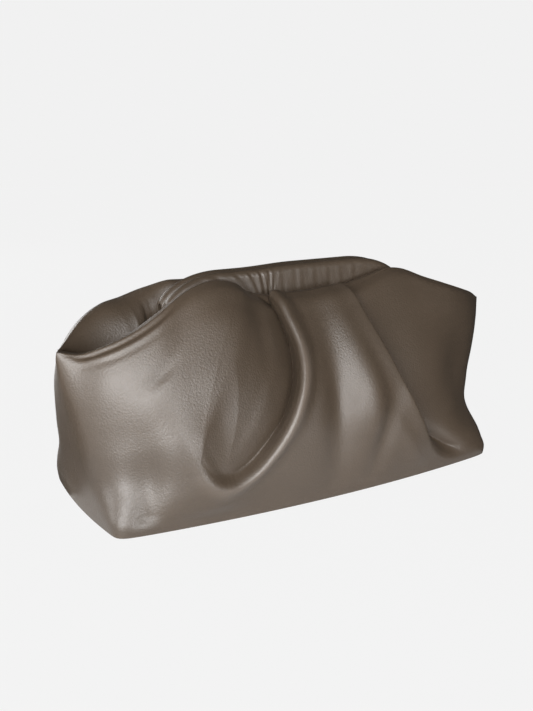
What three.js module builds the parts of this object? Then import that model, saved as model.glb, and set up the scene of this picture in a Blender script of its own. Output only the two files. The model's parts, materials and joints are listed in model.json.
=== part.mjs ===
import * as THREE from 'three';

// Cloud pouch bag: a soft leather clutch gathered onto a hidden metal frame.
// Millimetres. +X runs along the length to the right, -Y is the front, +Z is up,
// and the middle of the base rests at the origin.

// Main sizes. Every table below holds shares of these, so the whole bag follows them.
const baseHalfLength = 145;
const baseHalfDepth = 68;
const mouthHeight = 143;
const leatherThickness = 1.8;
const seamGap = 0.3;

// Sizes of the mouth: two lips, each a folded strip of leather over one bar of the frame
const lipHalfLength = 91;
const lipShift = 3;
const lipThickness = 9.2;
const lipHeight = 30;
const lipEndDrop = 25;
const lipLeftDrop = 1.5;
const gatherDepth = 0.8;
const gatherWidth = 9;

// Sizes of the folds. The hollow lies inside the curved pleat and the lap is the straight
// step to its right; the rolled edge of each reaches over what lies beneath it.
const hollowFullDepth = 13.5;
const lapFullDepth = 8;
const foldWidth = 4;
const foldOverlap = 3.4;
const curvedRollHeight = 2.2;
const lapRollHeight = 1.2;
const swellRise = 4.5;

// Sizes of the hidden frame and the base. The clearance is between the bar and each wall
// of the lip around it.
const frameBarHeight = 7;
const frameBarDrop = 11;
const frameLinkDrop = 41;
const frameClearance = 0.45;
const basePlateThickness = 2;

// How finely each leather piece is divided
const frontRows = 18;
const frontColumns = 66;
const backRows = 12;
const backColumns = 38;
const rowsBehindCrest = 4;
const lipFaceRows = 1;
const lipRoundRows = 4;
const lipPlainColumns = 12;
const backLipColumns = 18;
const stationsPerGather = 4;
const foldPieces = 60;
const guidePasses = 4;

// The around measure runs from -endReach (left side seam) over the front to +endReach
// (right side seam). From -1 to 1 it crosses the front; the rest goes round each end.
const endShare = 0.42;
const endReach = 1 + endShare;
const crestLevel = 1;
const innerLevel = 1.3;
const foldFadeLevel = 1.12;
const foldFootStart = 0.02;
const foldFootEnd = 0.1;
const seamTurnStart = 0.85;
const seamTurn = 115;
const shoulderGapLevel = 0.85;
const shoulderGapGain = 1.2;
const crestBlendLevel = 0.5;
const ovalPower = 2;
const slopeStep = 0.004;

// Shape of a lip, as shares of its half length: how much of its top is level, how long the
// bend at each end is, and where the lower left part of the top begins and is complete
const lipStraightShare = 0.55;
const lipBendShare = 0.48;
const lipLeftDropStart = 0.1;
const lipLeftDropFull = -0.35;
const lipFoot = mouthHeight - lipHeight;

// The gathers of the front lip: where they begin and end, and the shares of the lip height
// between which they rise from its foot and fade at its top
const gatherStart = -5.5 * gatherWidth;
const gatherEnd = 4.5 * gatherWidth;
const gatherFootStart = 0.2;
const gatherFootFull = 0.5;
const gatherTopFull = 0.8;

const leatherColour = 0x6b5f57;
const baseColour = 0x5c514a;
const frameColour = 0x9a958c;

// Outline of a panel at each level from the base up to the crest.
// rise: share of the crest height. left, right: share of the base half length.
// depth: share of the base half depth. roundLeft, roundRight: 0 square to 1 oval corners.
// bow: how far the corners fall back from the middle. seam: how far back the side seam is.
// endBow: how far the end bulges between its corners.
const panelLevels = [
  { level: 0, rise: 0, left: 1, right: 0.962, depth: 1,
    roundLeft: 0.067, roundRight: 0.067, bow: 0.15, seam: 0, endBow: 0.03 },
  { level: 0.06, rise: 0.06, left: 1.008, right: 0.978, depth: 1.02,
    roundLeft: 0.1, roundRight: 0.12, bow: 0.14, seam: 0, endBow: 0.026 },
  { level: 0.14, rise: 0.14, left: 1.018, right: 1, depth: 1.045,
    roundLeft: 0.2, roundRight: 0.28, bow: 0.13, seam: -0.005, endBow: 0.014 },
  { level: 0.25, rise: 0.25, left: 1.033, right: 1.022, depth: 1.06,
    roundLeft: 0.37, roundRight: 0.52, bow: 0.12, seam: -0.015, endBow: 0.004 },
  { level: 0.45, rise: 0.45, left: 1.062, right: 1.055, depth: 1.045,
    roundLeft: 0.513, roundRight: 0.72, bow: 0.1, seam: -0.06, endBow: 0 },
  { level: 0.62, rise: 0.63, left: 1.085, right: 1.087, depth: 0.93,
    roundLeft: 0.625, roundRight: 0.82, bow: 0.06, seam: -0.11, endBow: 0 },
  { level: 0.77, rise: 0.79, left: 1.105, right: 1.112, depth: 0.75,
    roundLeft: 0.74, roundRight: 0.9, bow: 0.03, seam: -0.16, endBow: 0 },
  { level: 0.88, rise: 0.905, left: 1.115, right: 1.122, depth: 0.59,
    roundLeft: 0.87, roundRight: 0.95, bow: 0, seam: -0.19, endBow: 0 },
  { level: 0.95, rise: 0.972, left: 1.119, right: 1.122, depth: 0.47,
    roundLeft: 0.95, roundRight: 1, bow: 0, seam: -0.21, endBow: 0 },
  { level: 1, rise: 1, left: 1.117, right: 1.117, depth: 0.353,
    roundLeft: 1, roundRight: 1, bow: 0, seam: -0.22, endBow: 0 },
];

// Crest of each panel, the ridge that hides the foot of the lips.
// along: share of the base half length. out: share of the base half depth towards the
// panel's own side. up: share of the mouth height.
const frontCrest = [
  { along: -1.117, out: 0.22, up: 0.734 },
  { along: -1.021, out: 0.30, up: 0.72 },
  { along: -0.945, out: 0.40, up: 0.748 },
  { along: -0.841, out: 0.455, up: 0.794 },
  { along: -0.724, out: 0.455, up: 0.86 },
  { along: -0.621, out: 0.38, up: 0.92 },
  { along: -0.531, out: 0.34, up: 0.958 },
  { along: -0.428, out: 0.31, up: 0.975 },
  { along: -0.331, out: 0.31, up: 0.955 },
  { along: -0.262, out: 0.31, up: 0.923 },
  { along: -0.207, out: 0.31, up: 0.906 },
  { along: -0.145, out: 0.31, up: 0.892 },
  { along: -0.055, out: 0.32, up: 0.892 },
  { along: 0.055, out: 0.34, up: 0.895 },
  { along: 0.228, out: 0.35, up: 0.902 },
  { along: 0.317, out: 0.34, up: 0.92 },
  { along: 0.414, out: 0.295, up: 0.944 },
  { along: 0.524, out: 0.25, up: 0.965 },
  { along: 0.607, out: 0.25, up: 0.955 },
  { along: 0.717, out: 0.31, up: 0.909 },
  { along: 0.834, out: 0.35, up: 0.867 },
  { along: 0.966, out: 0.33, up: 0.82 },
  { along: 1.055, out: 0.27, up: 0.785 },
  { along: 1.117, out: 0.22, up: 0.748 },
];
const backCrest = [
  { along: -1.117, out: -0.22, up: 0.734 },
  { along: -1.05, out: -0.02, up: 0.752 },
  { along: -1.0, out: 0.11, up: 0.776 },
  { along: -0.945, out: 0.22, up: 0.808 },
  { along: -0.841, out: 0.34, up: 0.858 },
  { along: -0.731, out: 0.40, up: 0.879 },
  { along: -0.621, out: 0.37, up: 0.918 },
  { along: -0.531, out: 0.29, up: 0.952 },
  { along: -0.455, out: 0.26, up: 0.948 },
  { along: -0.31, out: 0.29, up: 0.94 },
  { along: 0.0, out: 0.32, up: 0.923 },
  { along: 0.31, out: 0.31, up: 0.93 },
  { along: 0.455, out: 0.29, up: 0.937 },
  { along: 0.552, out: 0.29, up: 0.937 },
  { along: 0.655, out: 0.32, up: 0.909 },
  { along: 0.759, out: 0.35, up: 0.867 },
  { along: 0.862, out: 0.35, up: 0.832 },
  { along: 0.966, out: 0.26, up: 0.79 },
  { along: 1.048, out: 0.06, up: 0.762 },
  { along: 1.117, out: -0.22, up: 0.748 },
];

// Inner edge of a panel, from the middle of the mouth to the end of the gusset fold.
// crest: the crest place that it belongs to. along: where it lies itself. Both run from 0
// in the middle over 1 at the end of the lips to 2 at the side seam.
// up: share of the height of the lips' foot.
// shut: 0 where the edge lies against a lip, 1 where it meets the other panel.
const innerEdgeShares = [
  { crest: 0, along: 0, up: 1.044, shut: 0 },
  { crest: 0.64, along: 0.617, up: 1.044, shut: 0 },
  { crest: 0.9, along: 0.872, up: 1.026, shut: 0 },
  { crest: 1.014, along: 0.972, up: 1.009, shut: 0 },
  { crest: 1.074, along: 1.031, up: 0.991, shut: 0 },
  { crest: 1.132, along: 1.063, up: 0.964, shut: 0.55 },
  { crest: 1.191, along: 1.095, up: 0.911, shut: 1 },
  { crest: 1.324, along: 1.221, up: 0.814, shut: 1 },
  { crest: 1.5, along: 1.383, up: 0.743, shut: 1 },
  { crest: 1.678, along: 1.543, up: 0.734, shut: 1 },
  { crest: 1.853, along: 1.691, up: 0.778, shut: 1 },
  { crest: 2, along: 1.823, up: 0.84, shut: 1 },
];
const crestEnd = panelLevels[panelLevels.length - 1].left;
const lipEnd = (lipHalfLength + lipShift) / baseHalfLength;
const innerEdge = innerEdgeShares.map((row) => ({
  ...row,
  crest: mouthPlace(row.crest),
  along: mouthPlace(row.along),
}));

// The big curved pleat of the front: the line of its rolled edge from the mouth down
// and round to the left. along, up: shares as above. width: half width of the step, a share
// of the fold width. overlap: how far the rolled edge reaches over the hollow, a share of
// the fold overlap.
const curvedPleat = [
  { along: -0.145, up: 0.916, width: 0.55, overlap: 0.15 },
  { along: -0.117, up: 0.811, width: 0.75, overlap: 0.59 },
  { along: -0.103, up: 0.692, width: 0.88, overlap: 0.88 },
  { along: -0.121, up: 0.573, width: 1, overlap: 1 },
  { along: -0.172, up: 0.462, width: 1, overlap: 1 },
  { along: -0.248, up: 0.357, width: 1, overlap: 0.94 },
  { along: -0.324, up: 0.266, width: 1.12, overlap: 0.88 },
  { along: -0.414, up: 0.196, width: 1.38, overlap: 0.71 },
  { along: -0.517, up: 0.161, width: 1.62, overlap: 0.41 },
  { along: -0.607, up: 0.182, width: 1.75, overlap: 0.15 },
  { along: -0.669, up: 0.252, width: 1.75, overlap: 0 },
  { along: -0.69, up: 0.336, width: 1.5, overlap: 0 },
];
// Left side of the hollow that the curved pleat encloses
const hollowSide = [
  { along: -0.359, up: 0.979 },
  { along: -0.455, up: 0.825 },
  { along: -0.552, up: 0.65 },
  { along: -0.628, up: 0.503 },
  { along: -0.676, up: 0.392 },
  { along: -0.69, up: 0.336 },
];
// Depth of that hollow beside the pleat, by height, a share of its full depth
const hollowDepth = [
  { up: 0.07, depth: 0.37 },
  { up: 0.161, depth: 0.59 },
  { up: 0.245, depth: 0.78 },
  { up: 0.35, depth: 0.93 },
  { up: 0.49, depth: 1 },
  { up: 0.63, depth: 0.93 },
  { up: 0.755, depth: 0.74 },
  { up: 0.839, depth: 0.52 },
  { up: 0.909, depth: 0.22 },
  { up: 0.993, depth: 0 },
];
// How the hollow deepens from its left side (0) to the pleat (1)
const hollowProfile = [
  { across: 0.0, share: 0.0 },
  { across: 0.15, share: 0.1 },
  { across: 0.35, share: 0.42 },
  { across: 0.55, share: 0.58 },
  { across: 0.72, share: 0.64 },
  { across: 0.88, share: 0.88 },
  { across: 1.0, share: 1.0 },
];
// Where the hollow begins and is complete at its left end, shares of the base half length
const hollowEndStart = -0.717;
const hollowEndFull = -0.538;
// Width and setback of the rolled edges, and how far their overlap is felt: shares of the
// fold width. A step runs this share of its half width past the line on its far side.
const curvedRollWidth = 1.12;
const curvedRollSetback = 0.5;
const lapRollWidth = 1;
const lapRollSetback = 0.25;
const overlapReach = 1.25;
const overlapSetback = 0.25;
const stepPastLine = 0.4;

// The straight lap of the front: the left layer lies over the right one along this line.
// depth: height of the step, a share of the full depth of the lap. The rest as above.
const straightLap = [
  { along: 0.2, up: 0.937, width: 0.5, depth: 0.12, overlap: 0.09 },
  { along: 0.214, up: 0.895, width: 0.5, depth: 0.28, overlap: 0.29 },
  { along: 0.239, up: 0.745, width: 0.55, depth: 0.5, overlap: 0.59 },
  { along: 0.297, up: 0.573, width: 0.62, depth: 0.69, overlap: 0.71 },
  { along: 0.386, up: 0.392, width: 0.75, depth: 0.81, overlap: 0.71 },
  { along: 0.469, up: 0.27, width: 1, depth: 1, overlap: 0.59 },
  { along: 0.566, up: 0.154, width: 1.25, depth: 1, overlap: 0.29 },
  { along: 0.69, up: 0.056, width: 1.5, depth: 0.5, overlap: 0 },
  { along: 0.772, up: 0.0, width: 1.75, depth: 0.12, overlap: 0 },
];
// How far the right layer runs before it is level again, a share of the base half length
const lapRecovery = 0.207;
const lapRecoveryPower = 1.3;

// Soft swells and dents of the leather. long, wide: half sizes, shares of the mouth height
// and of the base half length. turn: tilt of the long direction from +X in degrees.
// height: outward, a share of the swell rise.
const frontSwells = [
  { along: 0.131, up: 0.517, long: 0.308, wide: 0.083, turn: 92, height: 0.78 }, // cone between the folds
  { along: -0.814, up: 0.434, long: 0.315, wide: 0.166, turn: 64, height: 1 }, // broad swell on the left
  { along: -0.414, up: 0.811, long: 0.154, wide: 0.103, turn: 0, height: 0.56 }, // swell under the left crest
  { along: 0.414, up: 0.175, long: 0.154, wide: 0.062, turn: 120, height: 0.44 }, // swell below the lap
  { along: 0.586, up: 0.664, long: 0.252, wide: 0.11, turn: 110, height: 0.44 }, // swell right of the lap
  { along: -0.903, up: 0.189, long: 0.168, wide: 0.055, turn: 82, height: -1 }, // left corner crease
  { along: -0.766, up: 0.65, long: 0.084, wide: 0.028, turn: 38, height: -0.31 }, // dimple
  { along: -0.021, up: 0.434, long: 0.35, wide: 0.062, turn: 86, height: -0.78 }, // valley beside the pleat
  { along: 0.234, up: 0.252, long: 0.182, wide: 0.055, turn: 74, height: -0.67 }, // wedge left of the lap
  { along: 0.607, up: 0.14, long: 0.126, wide: 0.055, turn: 140, height: -1 }, // hollow at the lap foot
  { along: 0.717, up: 0.056, long: 0.084, wide: 0.041, turn: 150, height: -0.67 }, // right corner hollow
  { along: 0.966, up: 0.252, long: 0.182, wide: 0.062, turn: 6, height: -0.33 }, // right corner pinch
  { along: 0.772, up: 0.559, long: 0.35, wide: 0.097, turn: 100, height: -0.67 }, // right end falling away
];
const backSwells = [
  { along: -0.5, up: 0.56, long: 0.35, wide: 0.083, turn: 96, height: -0.89 }, // left back fold
  { along: -0.28, up: 0.5, long: 0.322, wide: 0.097, turn: 92, height: 0.67 }, // left back swell
  { along: -0.03, up: 0.6, long: 0.308, wide: 0.076, turn: 90, height: -0.89 }, // middle back fold
  { along: 0.24, up: 0.5, long: 0.322, wide: 0.097, turn: 88, height: 0.67 }, // right back swell
  { along: 0.5, up: 0.56, long: 0.35, wide: 0.083, turn: 84, height: -0.89 }, // right back fold
  { along: -0.9, up: 0.2, long: 0.168, wide: 0.062, turn: 82, height: -0.67 }, // left back corner crease
  { along: 0.9, up: 0.2, long: 0.168, wide: 0.062, turn: 98, height: -0.67 }, // right back corner crease
];

// Share of the columns used up to each place round the front, so that they lie closer
// together where the pleats are. A guide names a fold line that the column follows, and
// aside is how far beside the line it runs, a share of the fold width.
const frontColumnPlan = [
  { share: 0.0, around: -endReach },
  { share: 0.08, around: -1 },
  { share: 0.17, around: -0.72 },
  { share: 0.47, guide: 'curvedPleat', aside: -1.75 },
  { share: 0.5, guide: 'curvedPleat', aside: -0.38 },
  { share: 0.515, guide: 'curvedPleat', aside: 0.75 },
  { share: 0.545, guide: 'curvedPleat', aside: 2 },
  { share: 0.7, guide: 'straightLap', aside: -1.5 },
  { share: 0.727, guide: 'straightLap', aside: -0.5 },
  { share: 0.742, guide: 'straightLap', aside: 0.5 },
  { share: 0.77, guide: 'straightLap', aside: 2 },
  { share: 0.93, around: 1 },
  { share: 1.0, around: endReach },
];
const backColumnPlan = [
  { share: 0.0, around: -endReach },
  { share: 0.15, around: -1 },
  { share: 0.5, around: 0 },
  { share: 0.85, around: 1 },
  { share: 1.0, around: endReach },
];

function clamp(value, low, high) {
  return Math.min(Math.max(value, low), high);
}

// Eased step from 0 at the first limit to 1 at the second
function easedStep(from, to, value) {
  const share = clamp((value - from) / (to - from), 0, 1);
  return share * share * (3 - 2 * share);
}

function bell(distance) {
  return Math.exp(-distance * distance);
}

// Place along the mouth as a share of the base half length: 1 is the end of the lips and
// 2 is the side seam
function mouthPlace(share) {
  return Math.min(share, 1) * lipEnd + Math.max(share - 1, 0) * (crestEnd - lipEnd);
}

// Smooth curve through the rows of a table: reads the column named by value at a place
// in the column named by key
function smoothAt(rows, key, value, place) {
  const last = rows.length - 1;
  const at = clamp(place, rows[0][key], rows[last][key]);
  let index = 0;
  while (index < last - 1 && rows[index + 1][key] <= at) {
    index += 1;
  }
  const slopeBetween = (first) =>
    (rows[first + 1][value] - rows[first][value]) / (rows[first + 1][key] - rows[first][key]);
  const slopeAt = (row) => {
    if (row === 0) {
      return slopeBetween(0);
    }
    if (row === last) {
      return slopeBetween(last - 1);
    }
    const before = rows[row][key] - rows[row - 1][key];
    const after = rows[row + 1][key] - rows[row][key];
    return (slopeBetween(row - 1) * after + slopeBetween(row) * before) / (before + after);
  };
  const span = rows[index + 1][key] - rows[index][key];
  const share = (at - rows[index][key]) / span;
  const square = share * share;
  const cube = square * share;
  return (2 * cube - 3 * square + 1) * rows[index][value]
    + (cube - 2 * square + share) * span * slopeAt(index)
    + (3 * square - 2 * cube) * rows[index + 1][value]
    + (cube - square) * span * slopeAt(index + 1);
}

function straightAt(rows, key, value, place) {
  const last = rows.length - 1;
  const at = clamp(place, rows[0][key], rows[last][key]);
  let index = 0;
  while (index < last - 1 && rows[index + 1][key] <= at) {
    index += 1;
  }
  const share = (at - rows[index][key]) / (rows[index + 1][key] - rows[index][key]);
  return rows[index][value] * (1 - share) + rows[index + 1][value] * share;
}

// Rounded rectangle of half size one: where a place round the panel lies on it
function roundedPlan(around, roundness) {
  const squareness = ovalPower / roundness;
  const beyond = Math.max(Math.abs(around) - 1, 0) / endShare;
  const along = clamp(around, -1, 1);
  const out = Math.max(1 - beyond, 0);
  const size = Math.abs(along) ** squareness + out ** squareness;
  const scale = size ** (-1 / squareness);
  return { along: along * scale, out: out * scale };
}

// Smooth form of a panel before its folds. side is -1 for the front and 1 for the back.
function panelForm(around, level, crest, side) {
  const low = Math.min(level, crestLevel);
  const read = (value) => smoothAt(panelLevels, 'level', value, low);
  const top = panelLevels[panelLevels.length - 1];
  const crestPlan = roundedPlan(around, top.roundLeft);
  const crestAlong = crestPlan.along * top.left;
  const crestOut = smoothAt(crest, 'along', 'out', crestAlong) * baseHalfDepth;
  const crestUp = smoothAt(crest, 'along', 'up', crestAlong) * mouthHeight;
  const gap = (seamGap / 2) * (1 + shoulderGapGain * easedStep(shoulderGapLevel, crestLevel, level));
  if (level > crestLevel) {
    const turn = ((level - crestLevel) / (innerLevel - crestLevel)) * (Math.PI / 2);
    const place = Math.abs(crestAlong);
    const innerAlong = Math.sign(crestAlong) * straightAt(innerEdge, 'crest', 'along', place);
    const innerUp = smoothAt(innerEdge, 'crest', 'up', place) * lipFoot;
    const shut = straightAt(innerEdge, 'crest', 'shut', place);
    const innerOut = (lipThickness + seamGap / 2) * (1 - shut);
    const across = Math.sin(turn);
    const down = 1 - Math.cos(turn);
    return new THREE.Vector3(
      (crestAlong + (innerAlong - crestAlong) * across) * baseHalfLength,
      side * (crestOut + (innerOut - crestOut) * across + gap),
      crestUp + (innerUp - crestUp) * down,
    );
  }
  const roundness = around < 0 ? read('roundLeft') : read('roundRight');
  const halfLength = (around < 0 ? read('left') : read('right')) * baseHalfLength;
  const plan = roundedPlan(around, roundness);
  const seamOut = -side * read('seam');
  const topSeamOut = -side * top.seam;
  const endBulge = read('endBow') * baseHalfLength * (1 - plan.out ** 2) * plan.along ** 4;
  const depth = (read('depth') - read('bow') * plan.along ** 2) * plan.out;
  const topDepth = top.depth * crestPlan.out;
  const out = -seamOut * (1 - plan.out) + depth;
  const topOut = -topSeamOut * (1 - crestPlan.out) + topDepth;
  const lean = easedStep(crestBlendLevel, crestLevel, low);
  const full = out * baseHalfDepth + (crestOut - topOut * baseHalfDepth) * lean;
  return new THREE.Vector3(
    halfLength * plan.along + Math.sign(around) * endBulge,
    side * (full + gap),
    read('rise') * crestUp,
  );
}

// Outward direction of the smooth form
function panelOutward(around, level, crest, side) {
  if (Math.abs(around) > endReach - slopeStep) {
    return seamOutward(around, level);
  }
  const at = (a, l) => panelForm(clamp(a, -endReach, endReach), clamp(l, 0, innerLevel), crest, side);
  const alongWay = at(around + slopeStep, level).sub(at(around - slopeStep, level));
  const upWay = at(around, level + slopeStep).sub(at(around, level - slopeStep));
  const outward = alongWay.cross(upWay).multiplyScalar(-side);
  if (level === 0) {
    outward.z = 0;
  }
  return outward.normalize();
}

// Both panels share one outward direction along the side seam: level with the ground
// below the shoulder, then turning up and inwards over it
function seamOutward(around, level) {
  const turn = THREE.MathUtils.degToRad(seamTurn) * easedStep(seamTurnStart, innerLevel, level);
  return new THREE.Vector3(Math.sign(around) * Math.cos(turn), 0, Math.sin(turn));
}

// A line of a fold as many short straight pieces
function foldLine(rows) {
  const points = rows.map((row) => new THREE.Vector2(row.along * baseHalfLength, row.up * mouthHeight));
  const curve = new THREE.SplineCurve(points);
  const line = [];
  for (let index = 0; index <= foldPieces; index += 1) {
    const share = index / foldPieces;
    const place = share * (rows.length - 1);
    const row = Math.min(Math.floor(place), rows.length - 2);
    const part = place - row;
    const mix = (value) => (rows[row][value] ?? 0) * (1 - part) + (rows[row + 1][value] ?? 0) * part;
    line.push({
      point: curve.getPoint(share),
      width: mix('width') * foldWidth,
      depth: mix('depth') * lapFullDepth,
      overlap: mix('overlap') * foldOverlap,
    });
  }
  return line;
}

// Nearest place of a fold line: the distance is positive to the left of its direction
function nearestOnLine(x, z, line) {
  let best = { distance: Infinity };
  for (let index = 0; index < line.length - 1; index += 1) {
    const start = line[index];
    const end = line[index + 1];
    const wayX = end.point.x - start.point.x;
    const wayZ = end.point.y - start.point.y;
    const fromX = x - start.point.x;
    const fromZ = z - start.point.y;
    const share = clamp((fromX * wayX + fromZ * wayZ) / (wayX * wayX + wayZ * wayZ), 0, 1);
    const distance = Math.hypot(fromX - share * wayX, fromZ - share * wayZ);
    if (distance < best.distance) {
      best = {
        distance,
        side: wayX * fromZ - wayZ * fromX >= 0 ? 1 : -1,
        width: start.width * (1 - share) + end.width * share,
        depth: start.depth * (1 - share) + end.depth * share,
        overlap: start.overlap * (1 - share) + end.overlap * share,
        way: new THREE.Vector2(wayX, wayZ).normalize(),
      };
    }
  }
  return { ...best, signed: best.distance * best.side };
}

const curvedPleatLine = foldLine(curvedPleat);
const hollowSideLine = foldLine(hollowSide);
const straightLapLine = foldLine(straightLap);

// Sum of the soft swells and dents at a place of the panel
function swellHeight(x, z, rows) {
  let height = 0;
  for (const row of rows) {
    const turn = THREE.MathUtils.degToRad(row.turn);
    const fromX = x - row.along * baseHalfLength;
    const fromZ = z - row.up * mouthHeight;
    const lengthwise = (fromX * Math.cos(turn) + fromZ * Math.sin(turn)) / (row.long * mouthHeight);
    const crosswise = (fromZ * Math.cos(turn) - fromX * Math.sin(turn)) / (row.wide * baseHalfLength);
    height += row.height * bell(lengthwise) * bell(crosswise);
  }
  return height * swellRise;
}

// The hollow inside the curved pleat falls away from its left side and dives under the
// rolled edge of the pleat
function curvedPleatHeight(x, z) {
  const pleat = nearestOnLine(x, z, curvedPleatLine);
  const side = nearestOnLine(x, z, hollowSideLine);
  const inside = -pleat.signed;
  const fromSide = Math.max(side.signed, 0);
  const across = side.signed > 0 ? fromSide / (fromSide + Math.max(inside, 0)) : 0;
  const depth = smoothAt(hollowDepth, 'up', 'depth', z / mouthHeight);
  const fade = easedStep(hollowEndStart, hollowEndFull, x / baseHalfLength);
  const share = smoothAt(hollowProfile, 'across', 'share', across);
  const edge = easedStep(-pleat.width, pleat.width * stepPastLine, inside);
  const fromRoll = inside + pleat.width + curvedRollSetback * foldWidth;
  const roll = curvedRollHeight * bell(fromRoll / (curvedRollWidth * foldWidth));
  return (roll - hollowFullDepth * share * edge) * depth * fade;
}

// The straight lap drops from the left layer to the right one, which recovers slowly
function straightLapHeight(x, z) {
  const lap = nearestOnLine(x, z, straightLapLine);
  const right = lap.signed;
  const drop = easedStep(-lap.width * stepPastLine, lap.width, right);
  const beyond = Math.max(right - lap.width, 0) / (lapRecovery * baseHalfLength);
  const recovery = Math.exp(-(beyond ** lapRecoveryPower));
  const fromRoll = right + lap.width + lapRollSetback * foldWidth;
  const roll = lapRollHeight * (lap.depth / lapFullDepth) * bell(fromRoll / (lapRollWidth * foldWidth));
  return roll - lap.depth * drop * recovery;
}

// How far the rolled edges of both pleats reach over what lies beneath them
function frontOverlap(x, z) {
  const pleat = nearestOnLine(x, z, curvedPleatLine);
  const lap = nearestOnLine(x, z, straightLapLine);
  const reach = overlapReach * foldWidth;
  const setback = overlapSetback * foldWidth;
  const pleatReach = pleat.overlap * bell((pleat.width - pleat.signed + setback) / reach);
  const lapReach = lap.overlap * bell((lap.width + lap.signed + setback) / reach);
  return new THREE.Vector3(
    pleat.way.y * pleatReach - lap.way.y * lapReach,
    0,
    -pleat.way.x * pleatReach + lap.way.x * lapReach,
  );
}

function frontFolds(x, z) {
  return curvedPleatHeight(x, z) + straightLapHeight(x, z) + swellHeight(x, z, frontSwells);
}

function backFolds(x, z) {
  return swellHeight(x, z, backSwells);
}

// Outer or inner face of a panel: the smooth form pushed out by its folds and in by the wall
function panelPoint(around, level, crest, side, folds, inset) {
  const form = panelForm(around, level, crest, side);
  const outward = panelOutward(around, level, crest, side);
  const shown = easedStep(foldFootStart, foldFootEnd, level) * easedStep(foldFadeLevel, crestLevel, level);
  const foldHere = folds(form.x, form.z) * shown;
  const slide = side < 0 ? frontOverlap(form.x, form.z).multiplyScalar(shown) : new THREE.Vector3();
  return form.addScaledVector(outward, foldHere - inset).add(slide);
}

// Closed sheet between an outer and an inner face, both given on the same grid
function sheetGeometry(columns, rows, outerAt, innerAt, facingOut) {
  const positions = [];
  const place = (column, row, face) => (face * (columns + 1) + column) * (rows + 1) + row;
  for (const pointAt of [outerAt, innerAt]) {
    for (let column = 0; column <= columns; column += 1) {
      for (let row = 0; row <= rows; row += 1) {
        positions.push(...pointAt(column, row).toArray());
      }
    }
  }
  const indices = [];
  const addQuad = (a, b, c, d) => {
    const corners = facingOut ? [a, b, c, d] : [d, c, b, a];
    indices.push(corners[0], corners[1], corners[2], corners[0], corners[2], corners[3]);
  };
  for (let column = 0; column < columns; column += 1) {
    for (let row = 0; row < rows; row += 1) {
      addQuad(
        place(column, row, 0), place(column + 1, row, 0),
        place(column + 1, row + 1, 0), place(column, row + 1, 0),
      );
      addQuad(
        place(column, row, 1), place(column, row + 1, 1),
        place(column + 1, row + 1, 1), place(column + 1, row, 1),
      );
    }
  }
  for (let column = 0; column < columns; column += 1) {
    addQuad(
      place(column, 0, 1), place(column + 1, 0, 1),
      place(column + 1, 0, 0), place(column, 0, 0),
    );
    addQuad(
      place(column, rows, 0), place(column + 1, rows, 0),
      place(column + 1, rows, 1), place(column, rows, 1),
    );
  }
  for (let row = 0; row < rows; row += 1) {
    addQuad(
      place(0, row, 0), place(0, row + 1, 0),
      place(0, row + 1, 1), place(0, row, 1),
    );
    addQuad(
      place(columns, row, 1), place(columns, row + 1, 1),
      place(columns, row + 1, 0), place(columns, row, 0),
    );
  }
  const geometry = new THREE.BufferGeometry();
  geometry.setAttribute('position', new THREE.Float32BufferAttribute(positions, 3));
  geometry.setIndex(indices);
  geometry.computeVertexNormals();
  return geometry;
}

// Place round the panel, at a level, where the column beside a fold line runs
function guidedAround(line, aside, level, crest) {
  const low = Math.min(level, crestLevel);
  const lowest = line.findIndex((row, index) => index > 0 && row.up > line[index - 1].up);
  const falling = (lowest < 0 ? line : line.slice(0, lowest - 1)).slice().reverse();
  const rise = smoothAt(panelLevels, 'level', 'rise', low);
  let along = falling[0].along;
  for (let pass = 0; pass < guidePasses; pass += 1) {
    const up = rise * smoothAt(crest, 'along', 'up', along);
    along = straightAt(falling, 'up', 'along', up);
  }
  along += (aside * foldWidth) / baseHalfLength;
  const half = smoothAt(panelLevels, 'level', along < 0 ? 'left' : 'right', low);
  const square = ovalPower / smoothAt(panelLevels, 'level', along < 0 ? 'roundLeft' : 'roundRight', low);
  const share = Math.abs(along / half);
  return (Math.sign(along) * share) / (1 - share ** square) ** (1 / square);
}

const foldGuides = { curvedPleat, straightLap };

// Place round the panel of a column at a level, from the column plan
function plannedAround(plan, share, level, crest) {
  const rows = plan.map((row) => ({
    share: row.share,
    around: row.guide ? guidedAround(foldGuides[row.guide], row.aside, level, crest) : row.around,
  }));
  return straightAt(rows, 'share', 'around', share);
}

function panelGeometry(crest, side, folds, columns, rows, columnPlan) {
  const aroundAt = (column, level) => plannedAround(columnPlan, column / columns, level, crest);
  const levelAt = (row) => {
    if (row <= rows) {
      return row / rows;
    }
    return crestLevel + ((row - rows) / rowsBehindCrest) * (innerLevel - crestLevel);
  };
  const pointAt = (inset) => (column, row) => {
    const level = levelAt(row);
    return panelPoint(aroundAt(column, level), level, crest, side, folds, inset);
  };
  return sheetGeometry(columns, rows + rowsBehindCrest, pointAt(0), pointAt(leatherThickness), side < 0);
}

// Height of the top of a lip: level in the middle, rounded down at both ends
function lipTop(x) {
  const beyond = Math.max(Math.abs(x - lipShift) - lipHalfLength * lipStraightShare, 0);
  const bend = lipHalfLength * lipBendShare;
  const leftDrop = lipLeftDrop * easedStep(lipLeftDropStart, lipLeftDropFull, x / lipHalfLength);
  return mouthHeight - leftDrop - lipEndDrop * (1 - Math.sqrt(1 - (beyond / bend) ** 2));
}

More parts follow.
